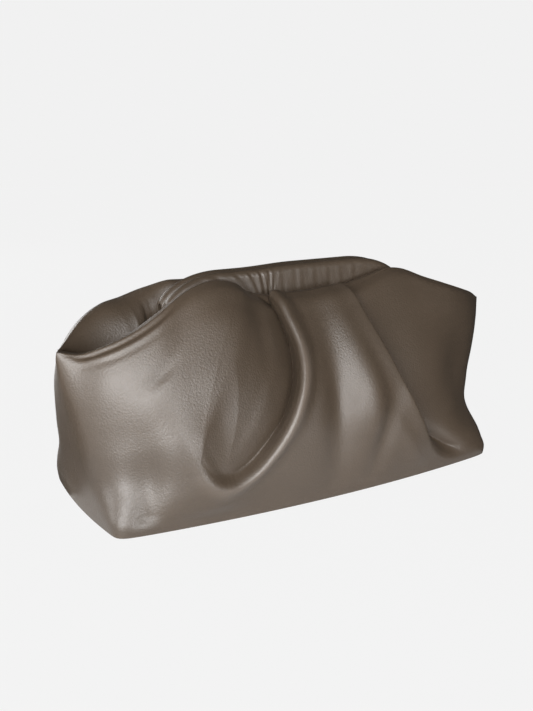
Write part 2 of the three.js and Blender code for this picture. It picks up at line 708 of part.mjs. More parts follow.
// Section of a lip, a strip folded over the frame bar: up one face, over the top and down
// the other. out is measured from the middle of the lip, away from the other lip.
function lipSection(x, row, inset) {
  const half = lipThickness / 2;
  const radius = half - inset;
  const spring = lipTop(x) - half;
  const lastRow = 2 * lipFaceRows + lipRoundRows;
  const climb = Math.min(row, lastRow - row, lipFaceRows) / lipFaceRows;
  const turn = clamp((row - lipFaceRows) / lipRoundRows, 0, 1) * Math.PI;
  return {
    out: radius * Math.cos(turn),
    up: lipFoot + (spring - lipFoot) * climb + radius * Math.sin(turn),
  };
}

// Places along the plain lip are even; along the gathered one they lie close together over
// the gathers and wide apart elsewhere
function plainStations() {
  return [
    { column: 0, x: lipShift - lipHalfLength },
    { column: backLipColumns, x: lipShift + lipHalfLength },
  ];
}

function gatherStations() {
  const close = ((gatherEnd - gatherStart) / gatherWidth) * stationsPerGather;
  return [
    { column: 0, x: lipShift - lipHalfLength },
    { column: lipPlainColumns / 2, x: gatherStart },
    { column: lipPlainColumns / 2 + close, x: gatherEnd },
    { column: lipPlainColumns + close, x: lipShift + lipHalfLength },
  ];
}

// Height of the gathers on the outer face of the front lip. They fade out at both ends,
// at the foot and at the top.
function gatherHeight(x, up) {
  const ends = easedStep(gatherStart, gatherStart + gatherWidth, x)
    * easedStep(gatherEnd, gatherEnd - gatherWidth, x);
  const heightShare = (up - lipFoot) / lipHeight;
  const shown = ends * easedStep(gatherFootStart, gatherFootFull, heightShare)
    * easedStep(1, gatherTopFull, heightShare);
  return gatherDepth * shown * (0.5 + 0.5 * Math.cos((2 * Math.PI * x) / gatherWidth));
}

function lipGeometry(side, stations, heightAt) {
  const middle = (seamGap + lipThickness) / 2;
  const columns = stations[stations.length - 1].column;
  const pointAt = (inset) => (column, row) => {
    const x = straightAt(stations, 'column', 'x', column);
    const section = lipSection(x, row, inset);
    const wave = section.out > 0 ? heightAt(x, section.up) : 0;
    return new THREE.Vector3(x, side * (middle + section.out + wave), section.up);
  };
  const rows = 2 * lipFaceRows + lipRoundRows;
  return sheetGeometry(columns, rows, pointAt(0), pointAt(leatherThickness), side < 0);
}

// Flat plate inside the foot of the panels
function baseGeometry() {
  const inset = leatherThickness + seamGap;
  const points = [];
  const addSide = (side, crest, columns, columnPlan) => {
    for (let column = 0; column <= columns; column += 1) {
      const share = side < 0 ? column / columns : 1 - column / columns;
      const around = plannedAround(columnPlan, share, 0, crest);
      const point = panelForm(around, 0, crest, side);
      const outward = panelOutward(around, 0, crest, side);
      points.push(new THREE.Vector2(point.x - outward.x * inset, point.y - outward.y * inset));
    }
  };
  addSide(-1, frontCrest, frontColumns, frontColumnPlan);
  addSide(1, backCrest, backColumns, backColumnPlan);
  const shape = new THREE.Shape(points);
  return new THREE.ExtrudeGeometry(shape, { depth: basePlateThickness, bevelEnabled: false });
}

// Frame: one closed ring of flat bar, a bar inside each lip and a low link at each end.
// along: share of the lip half length. across: 1 inside the lip, 0 on the middle plane.
// drop: share of the way from the bar down to the link. heading: plan direction in degrees.
const frameQuarter = [
  { along: 0.0, across: 1, drop: 0.0, heading: 0 },
  { along: 0.6, across: 1, drop: 0.0, heading: 0 },
  { along: 0.76, across: 1, drop: 0.12, heading: 0 },
  { along: 0.88, across: 1, drop: 0.3, heading: 0 },
  { along: 0.92, across: 1, drop: 0.55, heading: 0 },
  { along: 0.94, across: 1, drop: 0.85, heading: 0 },
  { along: 0.95, across: 0.9, drop: 1.0, heading: 45 },
  { along: 0.955, across: 0.6, drop: 1.0, heading: 90 },
];

function frameGeometry() {
  const acrossFull = (seamGap + lipThickness) / 2;
  const halfThickness = lipThickness / 2 - leatherThickness - frameClearance;
  const halfHeight = frameBarHeight / 2;
  const barUp = mouthHeight - frameBarDrop;
  const linkUp = mouthHeight - frameLinkDrop;
  const stations = [];
  const addQuarter = (alongSign, acrossSign, order) => {
    for (const row of order) {
      stations.push({
        point: new THREE.Vector3(
          lipShift + alongSign * row.along * lipHalfLength,
          acrossSign * row.across * acrossFull,
          barUp + (linkUp - barUp) * row.drop,
        ),
        heading: row.heading,
        alongSign,
        acrossSign,
      });
    }
  };
  const backward = [...frameQuarter].reverse();
  addQuarter(1, -1, frameQuarter);
  addQuarter(1, 1, backward);
  addQuarter(-1, 1, frameQuarter.slice(1));
  addQuarter(-1, -1, backward.slice(0, -1));
  const count = stations.length;
  const positions = [];
  stations.forEach((station, index) => {
    const before = stations[(index + count - 1) % count].point;
    const after = stations[(index + 1) % count].point;
    const way = after.clone().sub(before).normalize();
    const turn = THREE.MathUtils.degToRad(station.heading);
    const outward = new THREE.Vector3(
      station.alongSign * Math.sin(turn),
      station.acrossSign * Math.cos(turn),
      0,
    );
    const upward = new THREE.Vector3().crossVectors(outward, way).normalize();
    for (const [sideways, vertical] of [[1, -1], [1, 1], [-1, 1], [-1, -1]]) {
      const corner = station.point.clone();
      corner.addScaledVector(outward, sideways * halfThickness);
      corner.addScaledVector(upward, vertical * halfHeight);
      positions.push(...corner.toArray());
    }
  });
  const indices = [];
  for (let index = 0; index < count; index += 1) {
    const next = (index + 1) % count;
    for (let corner = 0; corner < 4; corner += 1) {
      const other = (corner + 1) % 4;
      const a = index * 4 + corner;
      const b = next * 4 + corner;
      const c = next * 4 + other;
      const d = index * 4 + other;
      indices.push(a, b, c, a, c, d);
    }
  }
  const geometry = new THREE.BufferGeometry();
  geometry.setAttribute('position', new THREE.Float32BufferAttribute(positions, 3));
  geometry.setIndex(indices);
  geometry.computeVertexNormals();
  return geometry;
}

function makeMesh(name, geometry, colour, roughness, metalness) {
  const material = new THREE.MeshStandardMaterial({ color: colour, roughness, metalness });
  const mesh = new THREE.Mesh(geometry, material);
  mesh.name = name;
  return mesh;
}

const bag = new THREE.Group();
bag.name = 'cloud_pouch_bag';
const frontPanel = panelGeometry(frontCrest, -1, frontFolds, frontColumns, frontRows, frontColumnPlan);
const backPanel = panelGeometry(backCrest, 1, backFolds, backColumns, backRows, backColumnPlan);
bag.add(makeMesh('front_panel', frontPanel, leatherColour, 0.5, 0));
bag.add(makeMesh('back_panel', backPanel, leatherColour, 0.5, 0));
bag.add(makeMesh('base_panel', baseGeometry(), baseColour, 0.6, 0));
bag.add(makeMesh('front_lip', lipGeometry(-1, gatherStations(), gatherHeight), leatherColour, 0.5, 0));
bag.add(makeMesh('back_lip', lipGeometry(1, plainStations(), () => 0), leatherColour, 0.5, 0));
bag.add(makeMesh('hidden_frame', frameGeometry(), frameColour, 0.35, 1));

export default bag;
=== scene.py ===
"""Cloud pouch bag: a soft pleated leather clutch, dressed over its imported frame.

Sizes are in millimetres until a mesh is written, which is in metres. +X runs along the
length, -Y is the front and +Z is up; the middle of the base rests at the origin.
"""
from __future__ import annotations

import json
import logging
from dataclasses import dataclass, field
from enum import Enum

import bpy
import numpy as np
from mathutils import Vector
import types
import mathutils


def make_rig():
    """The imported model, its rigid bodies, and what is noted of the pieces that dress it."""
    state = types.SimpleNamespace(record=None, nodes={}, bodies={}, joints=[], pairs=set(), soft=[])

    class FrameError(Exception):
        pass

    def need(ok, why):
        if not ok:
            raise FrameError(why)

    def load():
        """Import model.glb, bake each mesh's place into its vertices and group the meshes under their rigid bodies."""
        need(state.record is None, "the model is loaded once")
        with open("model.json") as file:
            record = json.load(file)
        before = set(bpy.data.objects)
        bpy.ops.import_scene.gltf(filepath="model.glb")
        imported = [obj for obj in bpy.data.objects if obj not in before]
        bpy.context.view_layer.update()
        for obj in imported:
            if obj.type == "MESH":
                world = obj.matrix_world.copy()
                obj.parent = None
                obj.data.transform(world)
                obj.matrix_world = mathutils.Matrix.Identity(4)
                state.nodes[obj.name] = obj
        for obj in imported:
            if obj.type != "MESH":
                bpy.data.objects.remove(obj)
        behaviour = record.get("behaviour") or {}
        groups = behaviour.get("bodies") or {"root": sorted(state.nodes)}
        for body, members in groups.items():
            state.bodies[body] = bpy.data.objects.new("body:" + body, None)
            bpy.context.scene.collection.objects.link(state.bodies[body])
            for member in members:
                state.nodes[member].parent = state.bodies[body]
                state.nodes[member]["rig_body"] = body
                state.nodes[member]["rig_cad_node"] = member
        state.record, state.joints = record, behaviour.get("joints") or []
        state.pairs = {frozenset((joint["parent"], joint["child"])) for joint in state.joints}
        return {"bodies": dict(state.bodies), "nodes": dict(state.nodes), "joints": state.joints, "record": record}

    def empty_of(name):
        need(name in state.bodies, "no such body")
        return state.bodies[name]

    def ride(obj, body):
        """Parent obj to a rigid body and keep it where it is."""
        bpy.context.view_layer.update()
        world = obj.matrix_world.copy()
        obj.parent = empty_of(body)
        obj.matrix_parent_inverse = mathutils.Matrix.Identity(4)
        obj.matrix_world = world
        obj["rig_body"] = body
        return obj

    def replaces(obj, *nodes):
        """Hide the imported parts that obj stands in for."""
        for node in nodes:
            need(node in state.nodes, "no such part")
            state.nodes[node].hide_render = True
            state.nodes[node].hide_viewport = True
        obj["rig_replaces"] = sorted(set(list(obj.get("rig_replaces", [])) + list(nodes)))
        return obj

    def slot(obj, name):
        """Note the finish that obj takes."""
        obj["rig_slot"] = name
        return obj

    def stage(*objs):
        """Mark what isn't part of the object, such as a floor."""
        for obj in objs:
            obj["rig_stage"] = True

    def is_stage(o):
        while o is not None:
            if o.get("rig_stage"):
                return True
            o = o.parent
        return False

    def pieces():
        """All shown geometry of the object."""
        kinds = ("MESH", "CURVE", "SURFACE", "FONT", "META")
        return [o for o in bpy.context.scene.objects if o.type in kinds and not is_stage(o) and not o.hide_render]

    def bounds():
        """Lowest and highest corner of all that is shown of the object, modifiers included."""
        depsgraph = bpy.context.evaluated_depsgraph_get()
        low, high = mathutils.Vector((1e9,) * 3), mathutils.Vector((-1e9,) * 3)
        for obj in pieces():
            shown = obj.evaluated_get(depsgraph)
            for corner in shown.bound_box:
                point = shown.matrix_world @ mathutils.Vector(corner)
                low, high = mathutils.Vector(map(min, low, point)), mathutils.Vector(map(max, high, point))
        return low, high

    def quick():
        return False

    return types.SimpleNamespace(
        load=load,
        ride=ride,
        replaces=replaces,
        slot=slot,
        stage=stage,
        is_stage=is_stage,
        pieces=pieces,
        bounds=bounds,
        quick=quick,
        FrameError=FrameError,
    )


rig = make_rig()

LOG = logging.getLogger("cloud_pouch_bag")
METRES = 0.001
RIM_ANGLE = np.radians(60.0)
Array = np.ndarray


class Side(Enum):
    """The half of the bag that a piece belongs to, with the sign of its Y."""

    FRONT = -1
    BACK = 1


def eased_step(start: float, end: float, value: Array) -> Array:
    """Rise smoothly from 0 at start to 1 at end: t * t * (3 - 2 t).

    Args:
        start: Value at which the step begins.
        end: Value at which the step is complete.
        value: Places to read.

    Returns:
        The step at each place.
    """
    share = np.clip((value - start) / (end - start), 0.0, 1.0)
    return share * share * (3.0 - 2.0 * share)


def bell(distance: Array) -> Array:
    """Bell curve exp(-distance squared)."""
    return np.exp(-(distance**2))


@dataclass(frozen=True)
class Table:
    """Rows of numbers with named columns, read as curves."""

    names: tuple[str, ...]
    rows: tuple[tuple[float, ...], ...]

    def column(self, name: str) -> Array:
        """All values of one column."""
        return np.array(self.rows, dtype=float)[:, self.names.index(name)]

    def straight(self, key: str, value: str, at: Array) -> Array:
        """Straight lines between the rows, reading value at places in key."""
        return np.interp(at, self.column(key), self.column(value))

    def smooth(self, key: str, value: str, at: Array) -> Array:
        """Smooth curve through the rows: a cubic Hermite piece between each two.

        Args:
            key: Name of the column that places are given in.
            value: Name of the column to read.
            at: Places to read.

        Returns:
            The curve at each place, level beyond both ends.
        """
        keys = self.column(key)
        values = self.column(value)
        spans = np.diff(keys)
        rises = np.diff(values) / spans
        slopes = np.empty_like(values)
        slopes[0] = rises[0]
        slopes[-1] = rises[-1]
        slopes[1:-1] = (rises[:-1] * spans[1:] + rises[1:] * spans[:-1]) / (spans[1:] + spans[:-1])
        place = np.clip(at, keys[0], keys[-1])
        index = np.clip(np.searchsorted(keys, place, side="right") - 1, 0, len(keys) - 2)
        span = spans[index]
        share = (place - keys[index]) / span
        square = share * share
        cube = square * share
        return (
            (2 * cube - 3 * square + 1) * values[index]
            + (cube - 2 * square + share) * span * slopes[index]
            + (3 * square - 2 * cube) * values[index + 1]
            + (cube - square) * span * slopes[index + 1]
        )


@dataclass(frozen=True)
class BagSizes:
    """Main sizes of the bag in millimetres."""

    base_half_length: float = 145.0
    base_half_depth: float = 68.0
    mouth_height: float = 143.0
    leather: float = 1.8
    seam_gap: float = 0.3
    end_share: float = 0.42
    crest_level: float = 1.0
    inner_level: float = 1.3
    oval_power: float = 2.0
    lip_thickness: float = 9.2

    @property
    def end_reach(self) -> float:
        """Around measure of a side seam."""
        return 1.0 + self.end_share


SIZES = BagSizes()

# Outline of a panel by level. rise: share of the crest height. left, right: share of the
# base half length. depth, bow, seam: shares of the base half depth. end_bow: how far an
# end bulges. Corners go from 0, square, to 1, oval: round_left and round_back are the left
# ones of the front and the back, and round_right is the right one of both.
PANEL_LEVELS = Table(
    (
        "level", "rise", "left", "right", "depth",
        "round_left", "round_right", "round_back", "bow", "seam", "end_bow",
    ),
    (
        (0.00, 0.000, 1.000, 0.962, 1.000, 0.067, 0.067, 0.067, 0.15, 0.000, 0.030),
        (0.06, 0.060, 1.008, 0.978, 1.020, 0.130, 0.120, 0.100, 0.14, 0.000, 0.026),
        (0.14, 0.140, 1.018, 1.000, 1.045, 0.280, 0.280, 0.200, 0.13, -0.005, 0.014),
        (0.25, 0.250, 1.033, 1.022, 1.060, 0.480, 0.520, 0.370, 0.12, -0.015, 0.004),
        (0.45, 0.450, 1.062, 1.055, 1.045, 0.660, 0.720, 0.513, 0.10, -0.060, 0.000),
        (0.62, 0.630, 1.085, 1.087, 0.930, 0.750, 0.820, 0.625, 0.06, -0.110, 0.000),
        (0.77, 0.790, 1.105, 1.112, 0.750, 0.820, 0.900, 0.740, 0.03, -0.160, 0.000),
        (0.88, 0.905, 1.115, 1.122, 0.590, 0.900, 0.950, 0.870, 0.00, -0.190, 0.000),
        (0.95, 0.972, 1.119, 1.122, 0.470, 0.960, 1.000, 0.950, 0.00, -0.210, 0.000),
        (1.00, 1.000, 1.117, 1.117, 0.353, 1.000, 1.000, 1.000, 0.00, -0.220, 0.000),
    ),
)
PANEL_TOP = dict(zip(PANEL_LEVELS.names, PANEL_LEVELS.rows[-1]))

# Ridge of each panel: along is a share of the base half length, out of the base half
# depth towards the panel's own side, up of the mouth height.
FRONT_CREST = Table(
    ("along", "out", "up"),
    (
        (-1.117, 0.22, 0.734), (-1.021, 0.3, 0.72), (-0.945, 0.4, 0.748), (-0.841, 0.455, 0.794),
        (-0.724, 0.455, 0.86), (-0.621, 0.38, 0.92), (-0.531, 0.34, 0.958), (-0.428, 0.31, 0.975),
        (-0.331, 0.31, 0.955), (-0.262, 0.31, 0.923), (-0.207, 0.31, 0.906), (-0.145, 0.31, 0.892),
        (-0.055, 0.32, 0.892), (0.055, 0.34, 0.895), (0.228, 0.35, 0.902), (0.317, 0.34, 0.92),
        (0.414, 0.295, 0.944), (0.524, 0.25, 0.965), (0.607, 0.25, 0.955), (0.717, 0.31, 0.909),
        (0.834, 0.35, 0.867), (0.966, 0.33, 0.82), (1.055, 0.27, 0.785), (1.117, 0.22, 0.748),
    ),
)
BACK_CREST = Table(
    ("along", "out", "up"),
    (
        (-1.117, -0.22, 0.734), (-1.05, -0.02, 0.752), (-1.0, 0.11, 0.776), (-0.945, 0.22, 0.808),
        (-0.841, 0.34, 0.858), (-0.731, 0.4, 0.879), (-0.621, 0.37, 0.918), (-0.531, 0.29, 0.952),
        (-0.455, 0.26, 0.948), (-0.31, 0.29, 0.94), (0.0, 0.32, 0.923), (0.31, 0.31, 0.93),
        (0.455, 0.29, 0.937), (0.552, 0.29, 0.937), (0.655, 0.32, 0.909), (0.759, 0.35, 0.867),
        (0.862, 0.35, 0.832), (0.966, 0.26, 0.79), (1.048, 0.06, 0.762), (1.117, -0.22, 0.748),
    ),
)

# Inner edge of a panel by its crest place. shut: 0 against a lip, 1 against the other panel.
INNER_EDGE = Table(
    ("crest", "along", "up", "shut"),
    (
        (0.0, 0.0, 0.825, 0.0), (0.414, 0.4, 0.825, 0.0), (0.586, 0.565, 0.811, 0.0),
        (0.655, 0.63, 0.797, 0.0), (0.683, 0.66, 0.783, 0.1), (0.71, 0.676, 0.758, 0.45),
        (0.748, 0.705, 0.71, 0.85), (0.8, 0.752, 0.648, 1.0), (0.883, 0.828, 0.587, 1.0),
        (0.966, 0.903, 0.58, 1.0), (1.048, 0.972, 0.615, 1.0), (1.117, 1.034, 0.664, 1.0),
    ),
)

# The big curved pleat: the line of its rolled edge from the mouth down and to the left.
# Width and overlap of a fold are in millimetres, and so is the depth of a step or hollow.
CURVED_PLEAT = Table(
    ("along", "up", "width", "overlap"),
    (
        (-0.138, 0.93, 2.4, 4.0), (-0.112, 0.811, 2.6, 6.0), (-0.11, 0.692, 2.8, 5.0),
        (-0.138, 0.573, 2.8, 5.0), (-0.197, 0.458, 2.8, 4.5), (-0.276, 0.353, 3.0, 3.0),
        (-0.355, 0.275, 3.4, 1.5), (-0.441, 0.215, 4.2, 0.3), (-0.524, 0.19, 5.5, 0.0),
        (-0.583, 0.203, 7.5, 0.0), (-0.628, 0.25, 9.0, 0.0), (-0.662, 0.325, 9.0, 0.0),
        (-0.71, 0.43, 9.0, 0.0),
    ),
)
# Left side of the hollow that the curved pleat encloses
HOLLOW_SIDE = Table(
    ("along", "up"),
    (
        (-0.331, 0.979), (-0.44, 0.825), (-0.545, 0.65), (-0.606, 0.503), (-0.643, 0.392),
        (-0.662, 0.28),
    ),
)
HOLLOW_DEPTH = Table(
    ("up", "depth"),
    (
        (0.07, 2.0), (0.161, 4.5), (0.245, 7.5), (0.35, 11.0), (0.49, 13.5), (0.63, 14.0),
        (0.755, 13.5), (0.839, 11.5), (0.909, 8.0), (0.993, 4.0),
    ),
)
# How the hollow falls from its left side (0) to the pleat (1)
HOLLOW_PROFILE = Table(
    ("across", "share"),
    (
        (0.0, 0.0), (0.15, 0.05), (0.35, 0.25), (0.52, 0.39), (0.68, 0.48), (0.84, 0.68),
        (1.0, 1.0),
    ),
)
# Section across the curved pleat. across: from the outside (negative) into the hollow, in
# half widths of the step. reach: sideways share of the overlap. roll: share of the roll
# height. drop: share of the hollow's depth.
PLEAT_SECTION = Table(
    ("across", "reach", "roll", "drop"),
    (
        (-3.6, 0.0, 0.0, 0.0), (-2.6, 0.04, 0.15, 0.0), (-1.8, 0.2, 0.5, 0.0),
        (-1.3, 0.47, 0.86, 0.0), (-0.9, 0.73, 1.0, 0.0), (-0.58, 0.92, 0.85, 0.0),
        (-0.32, 1.0, 0.45, 0.0), (-0.12, 0.97, 0.12, 0.04), (0.08, 0.79, 0.0, 0.25),
        (0.28, 0.47, 0.0, 0.55), (0.5, 0.16, 0.0, 0.85), (0.75, 0.0, 0.0, 1.0),
    ),
)
# The straight lap: the left layer lies over the right one along this line.
STRAIGHT_LAP = Table(
    ("along", "up", "width", "overlap", "depth"),
    (
        (0.2, 0.937, 1.2, 1.0, 2.0), (0.214, 0.895, 1.3, 2.5, 4.2), (0.239, 0.745, 1.5, 4.5, 6.5),
        (0.297, 0.573, 1.7, 5.0, 9.0), (0.386, 0.392, 2.0, 5.0, 11.0),
        (0.469, 0.27, 2.6, 4.0, 11.0), (0.566, 0.154, 4.0, 1.5, 9.0), (0.69, 0.056, 6.0, 0.0, 4.0),
        (0.772, 0.0, 7.0, 0.0, 1.0),
    ),
)

# Soft swells and dents: place as shares, half sizes and height in millimetres, tilt in degrees.
SWELL_NAMES = ("along", "up", "long", "wide", "turn", "height")
FRONT_SWELLS = Table(
    SWELL_NAMES,
    (
        (0.186, 0.517, 46, 13, 96, 4.5),    # cone between the pleats
        (-0.697, 0.322, 46, 20, 118, 6.0),  # broad swell on the left
        (-0.414, 0.811, 22, 15, 0, 2.5),    # swell under the left crest
        (-0.648, 0.660, 34, 15, 35, 3.0),   # swell below the left rim
        (0.414, 0.175, 22, 9, 120, 2.0),    # swell below the lap
        (-0.876, 0.130, 32, 9, 82, -3.6),   # crease above the left corner
        (-0.766, 0.650, 12, 4, 38, -1.4),   # dimple
        (0.014, 0.434, 50, 10, 86, -4.0),   # valley right of the curved pleat
        (0.245, 0.252, 26, 8, 74, -3.5),    # wedge left of the lap foot
        (0.607, 0.140, 18, 8, 140, -4.5),   # hollow at the lap foot
        (0.717, 0.056, 12, 6, 150, -3.0),   # hollow beside the right corner
        (0.966, 0.252, 26, 9, 6, -1.5),     # pinch at the right corner
        (0.890, 0.406, 36, 22, 100, -6.5),  # fall away at the right
    ),
)
BACK_SWELLS = Table(
    SWELL_NAMES,
    (
        (-0.50, 0.56, 50, 12, 96, -4.0),    # left back fold
        (-0.28, 0.50, 46, 14, 92, 3.0),     # left back swell
        (-0.03, 0.60, 44, 11, 90, -4.0),    # middle back fold
        (0.24, 0.50, 46, 14, 88, 3.0),      # right back swell
        (0.50, 0.56, 50, 12, 84, -4.0),     # right back fold
        (-0.90, 0.20, 24, 9, 82, -3.0),     # left back corner crease
        (0.90, 0.20, 24, 9, 98, -3.0),      # right back corner crease
    ),
)


@dataclass(frozen=True)
class FoldLine:
    """A fold as a smooth line in the front view, with values that change along it."""

    table: Table
    pieces: int = 60
    blur: float = 1.5

    def points(self) -> dict[str, Array]:
        """Points of the line with the table's other values, smooth by chord length.

        Returns:
            Each value at evenly spaced places of the line, by its name.
        """
        along = self.table.column("along") * SIZES.base_half_length
        up = self.table.column("up") * SIZES.mouth_height
        chord = np.concatenate(([0.0], np.cumsum(np.hypot(np.diff(along), np.diff(up)))))
        names = ("chord", "x", "z", *self.table.names[2:])
        values = (chord, along, up, *(self.table.column(name) for name in names[3:]))
        curve = Table(names, tuple(map(tuple, np.stack(values, axis=1))))
        places = np.linspace(0.0, chord[-1], self.pieces + 1)
        return {name: curve.smooth("chord", name, places) for name in names[1:]}

    def nearest(self, x: Array, z: Array) -> dict[str, Array]:
        """Nearest place of the line to each point.

        The distance is signed: positive to the left of the line's direction. The line's
        own values are means weighted by exp((nearest - distance) / blur), so they don't
        jump where two stretches of the line are equally near.

        Args:
            x: Places along the bag.
            z: Heights.

        Returns:
            Signed distance, direction and the line's own values there.
        """
        line = self.points()
        start = np.stack((line["x"][:-1], line["z"][:-1]), -1)
        way = np.diff(np.stack((line["x"], line["z"]), -1), axis=0)
        length = np.linalg.norm(way, axis=1)
        off = np.stack((x, z), -1)[..., None, :] - start
        share = np.clip((off * way).sum(-1) / length**2, 0.0, 1.0)
        distance = np.linalg.norm(off - share[..., None] * way, axis=-1)
        best = distance.argmin(axis=-1)[..., None]
        closest = np.take_along_axis(distance, best, -1)[..., 0]
        sideways = way[:, 0] * off[..., 1] - way[:, 1] * off[..., 0]
        turn = np.take_along_axis(sideways, best, -1)[..., 0]
        weight = np.exp((closest[..., None] - distance) / self.blur)
        weight /= weight.sum(axis=-1, keepdims=True)
        found = {"signed": np.where(turn >= 0.0, closest, -closest)}
        found["way_x"] = weight @ (way[:, 0] / length)
        found["way_z"] = weight @ (way[:, 1] / length)
        for name in self.table.names[2:]:
            here = line[name][:-1] * (1.0 - share) + line[name][1:] * share
            found[name] = (here * weight).sum(axis=-1)
        return found


def swell_height(table: Table, x: Array, z: Array) -> Array:
    """Sum of elliptical bells: height * bell(lengthwise) * bell(crosswise) per row.

    Args:
        table: Rows of bells.
        x: Places along the bag.
        z: Heights.

    Returns:
        Height at each place, in millimetres.
    """
    total = np.zeros_like(x)
    for row in table.rows:
        place = dict(zip(table.names, row))
        turn = np.radians(place["turn"])
        from_x = x - place["along"] * SIZES.base_half_length
        from_z = z - place["up"] * SIZES.mouth_height
        lengthwise = (from_x * np.cos(turn) + from_z * np.sin(turn)) / place["long"]
        crosswise = (from_z * np.cos(turn) - from_x * np.sin(turn)) / place["wide"]
        total += place["height"] * bell(lengthwise) * bell(crosswise)
    return total


def grid_faces(index: Array) -> Array:
    """Four corners of every cell of a grid of point numbers, one row to a cell."""
    corners = (index[:-1, :-1], index[1:, :-1], index[1:, 1:], index[:-1, 1:])
    return np.stack([corner.ravel() for corner in corners], axis=1)


def ring_numbers(rings: int, count: int) -> Array:
    """Numbers of the points of closed rings, with the first of each again at its end."""
    index = np.arange(rings * count).reshape(rings, count)
    return np.concatenate((index, index[:, :1]), axis=1)


def write_mesh(name: str, points: Array, faces: list[tuple[int, ...]]) -> bpy.types.Object:
    """Make a smooth-shaded mesh object from points in millimetres.

    Args:
        name: Name of the object.
        points: Points, one row each.
        faces: Corner indices of each face.

    Returns:
        The object, linked into the scene at the origin.
    """
    mesh = bpy.data.meshes.new(name)
    mesh.from_pydata((points * METRES).tolist(), [], faces)
    mesh.polygons.foreach_set("use_smooth", np.ones(len(mesh.polygons), dtype=bool))
    mesh.set_sharp_from_angle(angle=RIM_ANGLE)
    mesh.update()
    piece = bpy.data.objects.new(name, mesh)
    bpy.context.scene.collection.objects.link(piece)
    return piece


@dataclass
class Sheet:
    """A closed sheet of leather: a fine outer grid, a coarser inner grid and the rims."""

    outer: Array
    inner: Array
    stride: int
    faces_out: bool

    def build(self, name: str) -> bpy.types.Object:
        """Join both grids: inner points are every stride-th outer point pushed in.

        Args:
            name: Name of the object.

        Returns:
            The closed sheet as an object.
        """
        inner_points = self.inner[:: self.stride, :: self.stride]
        outer = self._numbers(self.outer, 0)
        inner = self._numbers(inner_points, outer.size)
        faces = np.concatenate((grid_faces(outer), grid_faces(inner)[:, ::-1]))
        if not self.faces_out:
            faces = faces[:, ::-1]
        points = np.concatenate((self.outer.reshape(-1, 3), inner_points.reshape(-1, 3)))
        return write_mesh(name, points, [*map(tuple, faces.tolist()), *self._rims(outer, inner)])

    @staticmethod
    def _numbers(grid: Array, first: int) -> Array:
        """Numbers of a grid's points, counted from first."""
        return first + np.arange(grid.shape[0] * grid.shape[1]).reshape(grid.shape[:2])

    def _rims(self, outer: Array, inner: Array) -> list[tuple[int, ...]]:
        """Faces between the edges of both grids, one to each inner edge piece.

        Args:
            outer: Point numbers of the fine grid.
            inner: Point numbers of the coarser grid.

        Returns:
            Corner indices of each face.
        """
        edges = (
            (outer[:, 0], inner[:, 0]),
            (outer[-1, :], inner[-1, :]),
            (outer[::-1, -1], inner[::-1, -1]),
            (outer[0, ::-1], inner[0, ::-1]),
        )
        faces: list[tuple[int, ...]] = []
        for outer_edge, inner_edge in edges:
            for piece in range(len(inner_edge) - 1):
                first = piece * self.stride
                fine = outer_edge[first : first + self.stride + 1].tolist()
                face = (int(inner_edge[piece]), int(inner_edge[piece + 1]), *fine[::-1])
                faces.append(face if self.faces_out else face[::-1])
        return faces


@dataclass(frozen=True)
class ColumnPlan:
    """Where the columns of a panel run, so that they lie close together at the pleats.

    Each stop is a share of the columns with either a fixed place round the panel or a
    fold line to follow and how far beside it to run.
    """

    shares: tuple[float, ...]
    places: tuple[float | tuple[str, float], ...]


FOLD_GUIDES = {"curved": CURVED_PLEAT, "lap": STRAIGHT_LAP}
FRONT_COLUMNS = ColumnPlan(
    (0.0, 0.07, 0.15, 0.40, 0.44, 0.53, 0.57, 0.69, 0.72, 0.77, 0.80, 0.93, 1.0),
    (
        -SIZES.end_reach, -1.0, -0.72,
        ("curved", -8.0), ("curved", -2.5), ("curved", 4.0), ("curved", 10.0),
        ("lap", -7.0), ("lap", -2.5), ("lap", 2.5), ("lap", 8.0), 1.0, SIZES.end_reach,
    ),
)
BACK_COLUMNS = ColumnPlan(
    (0.0, 0.15, 0.5, 0.85, 1.0), (-SIZES.end_reach, -1.0, 0.0, 1.0, SIZES.end_reach)
)


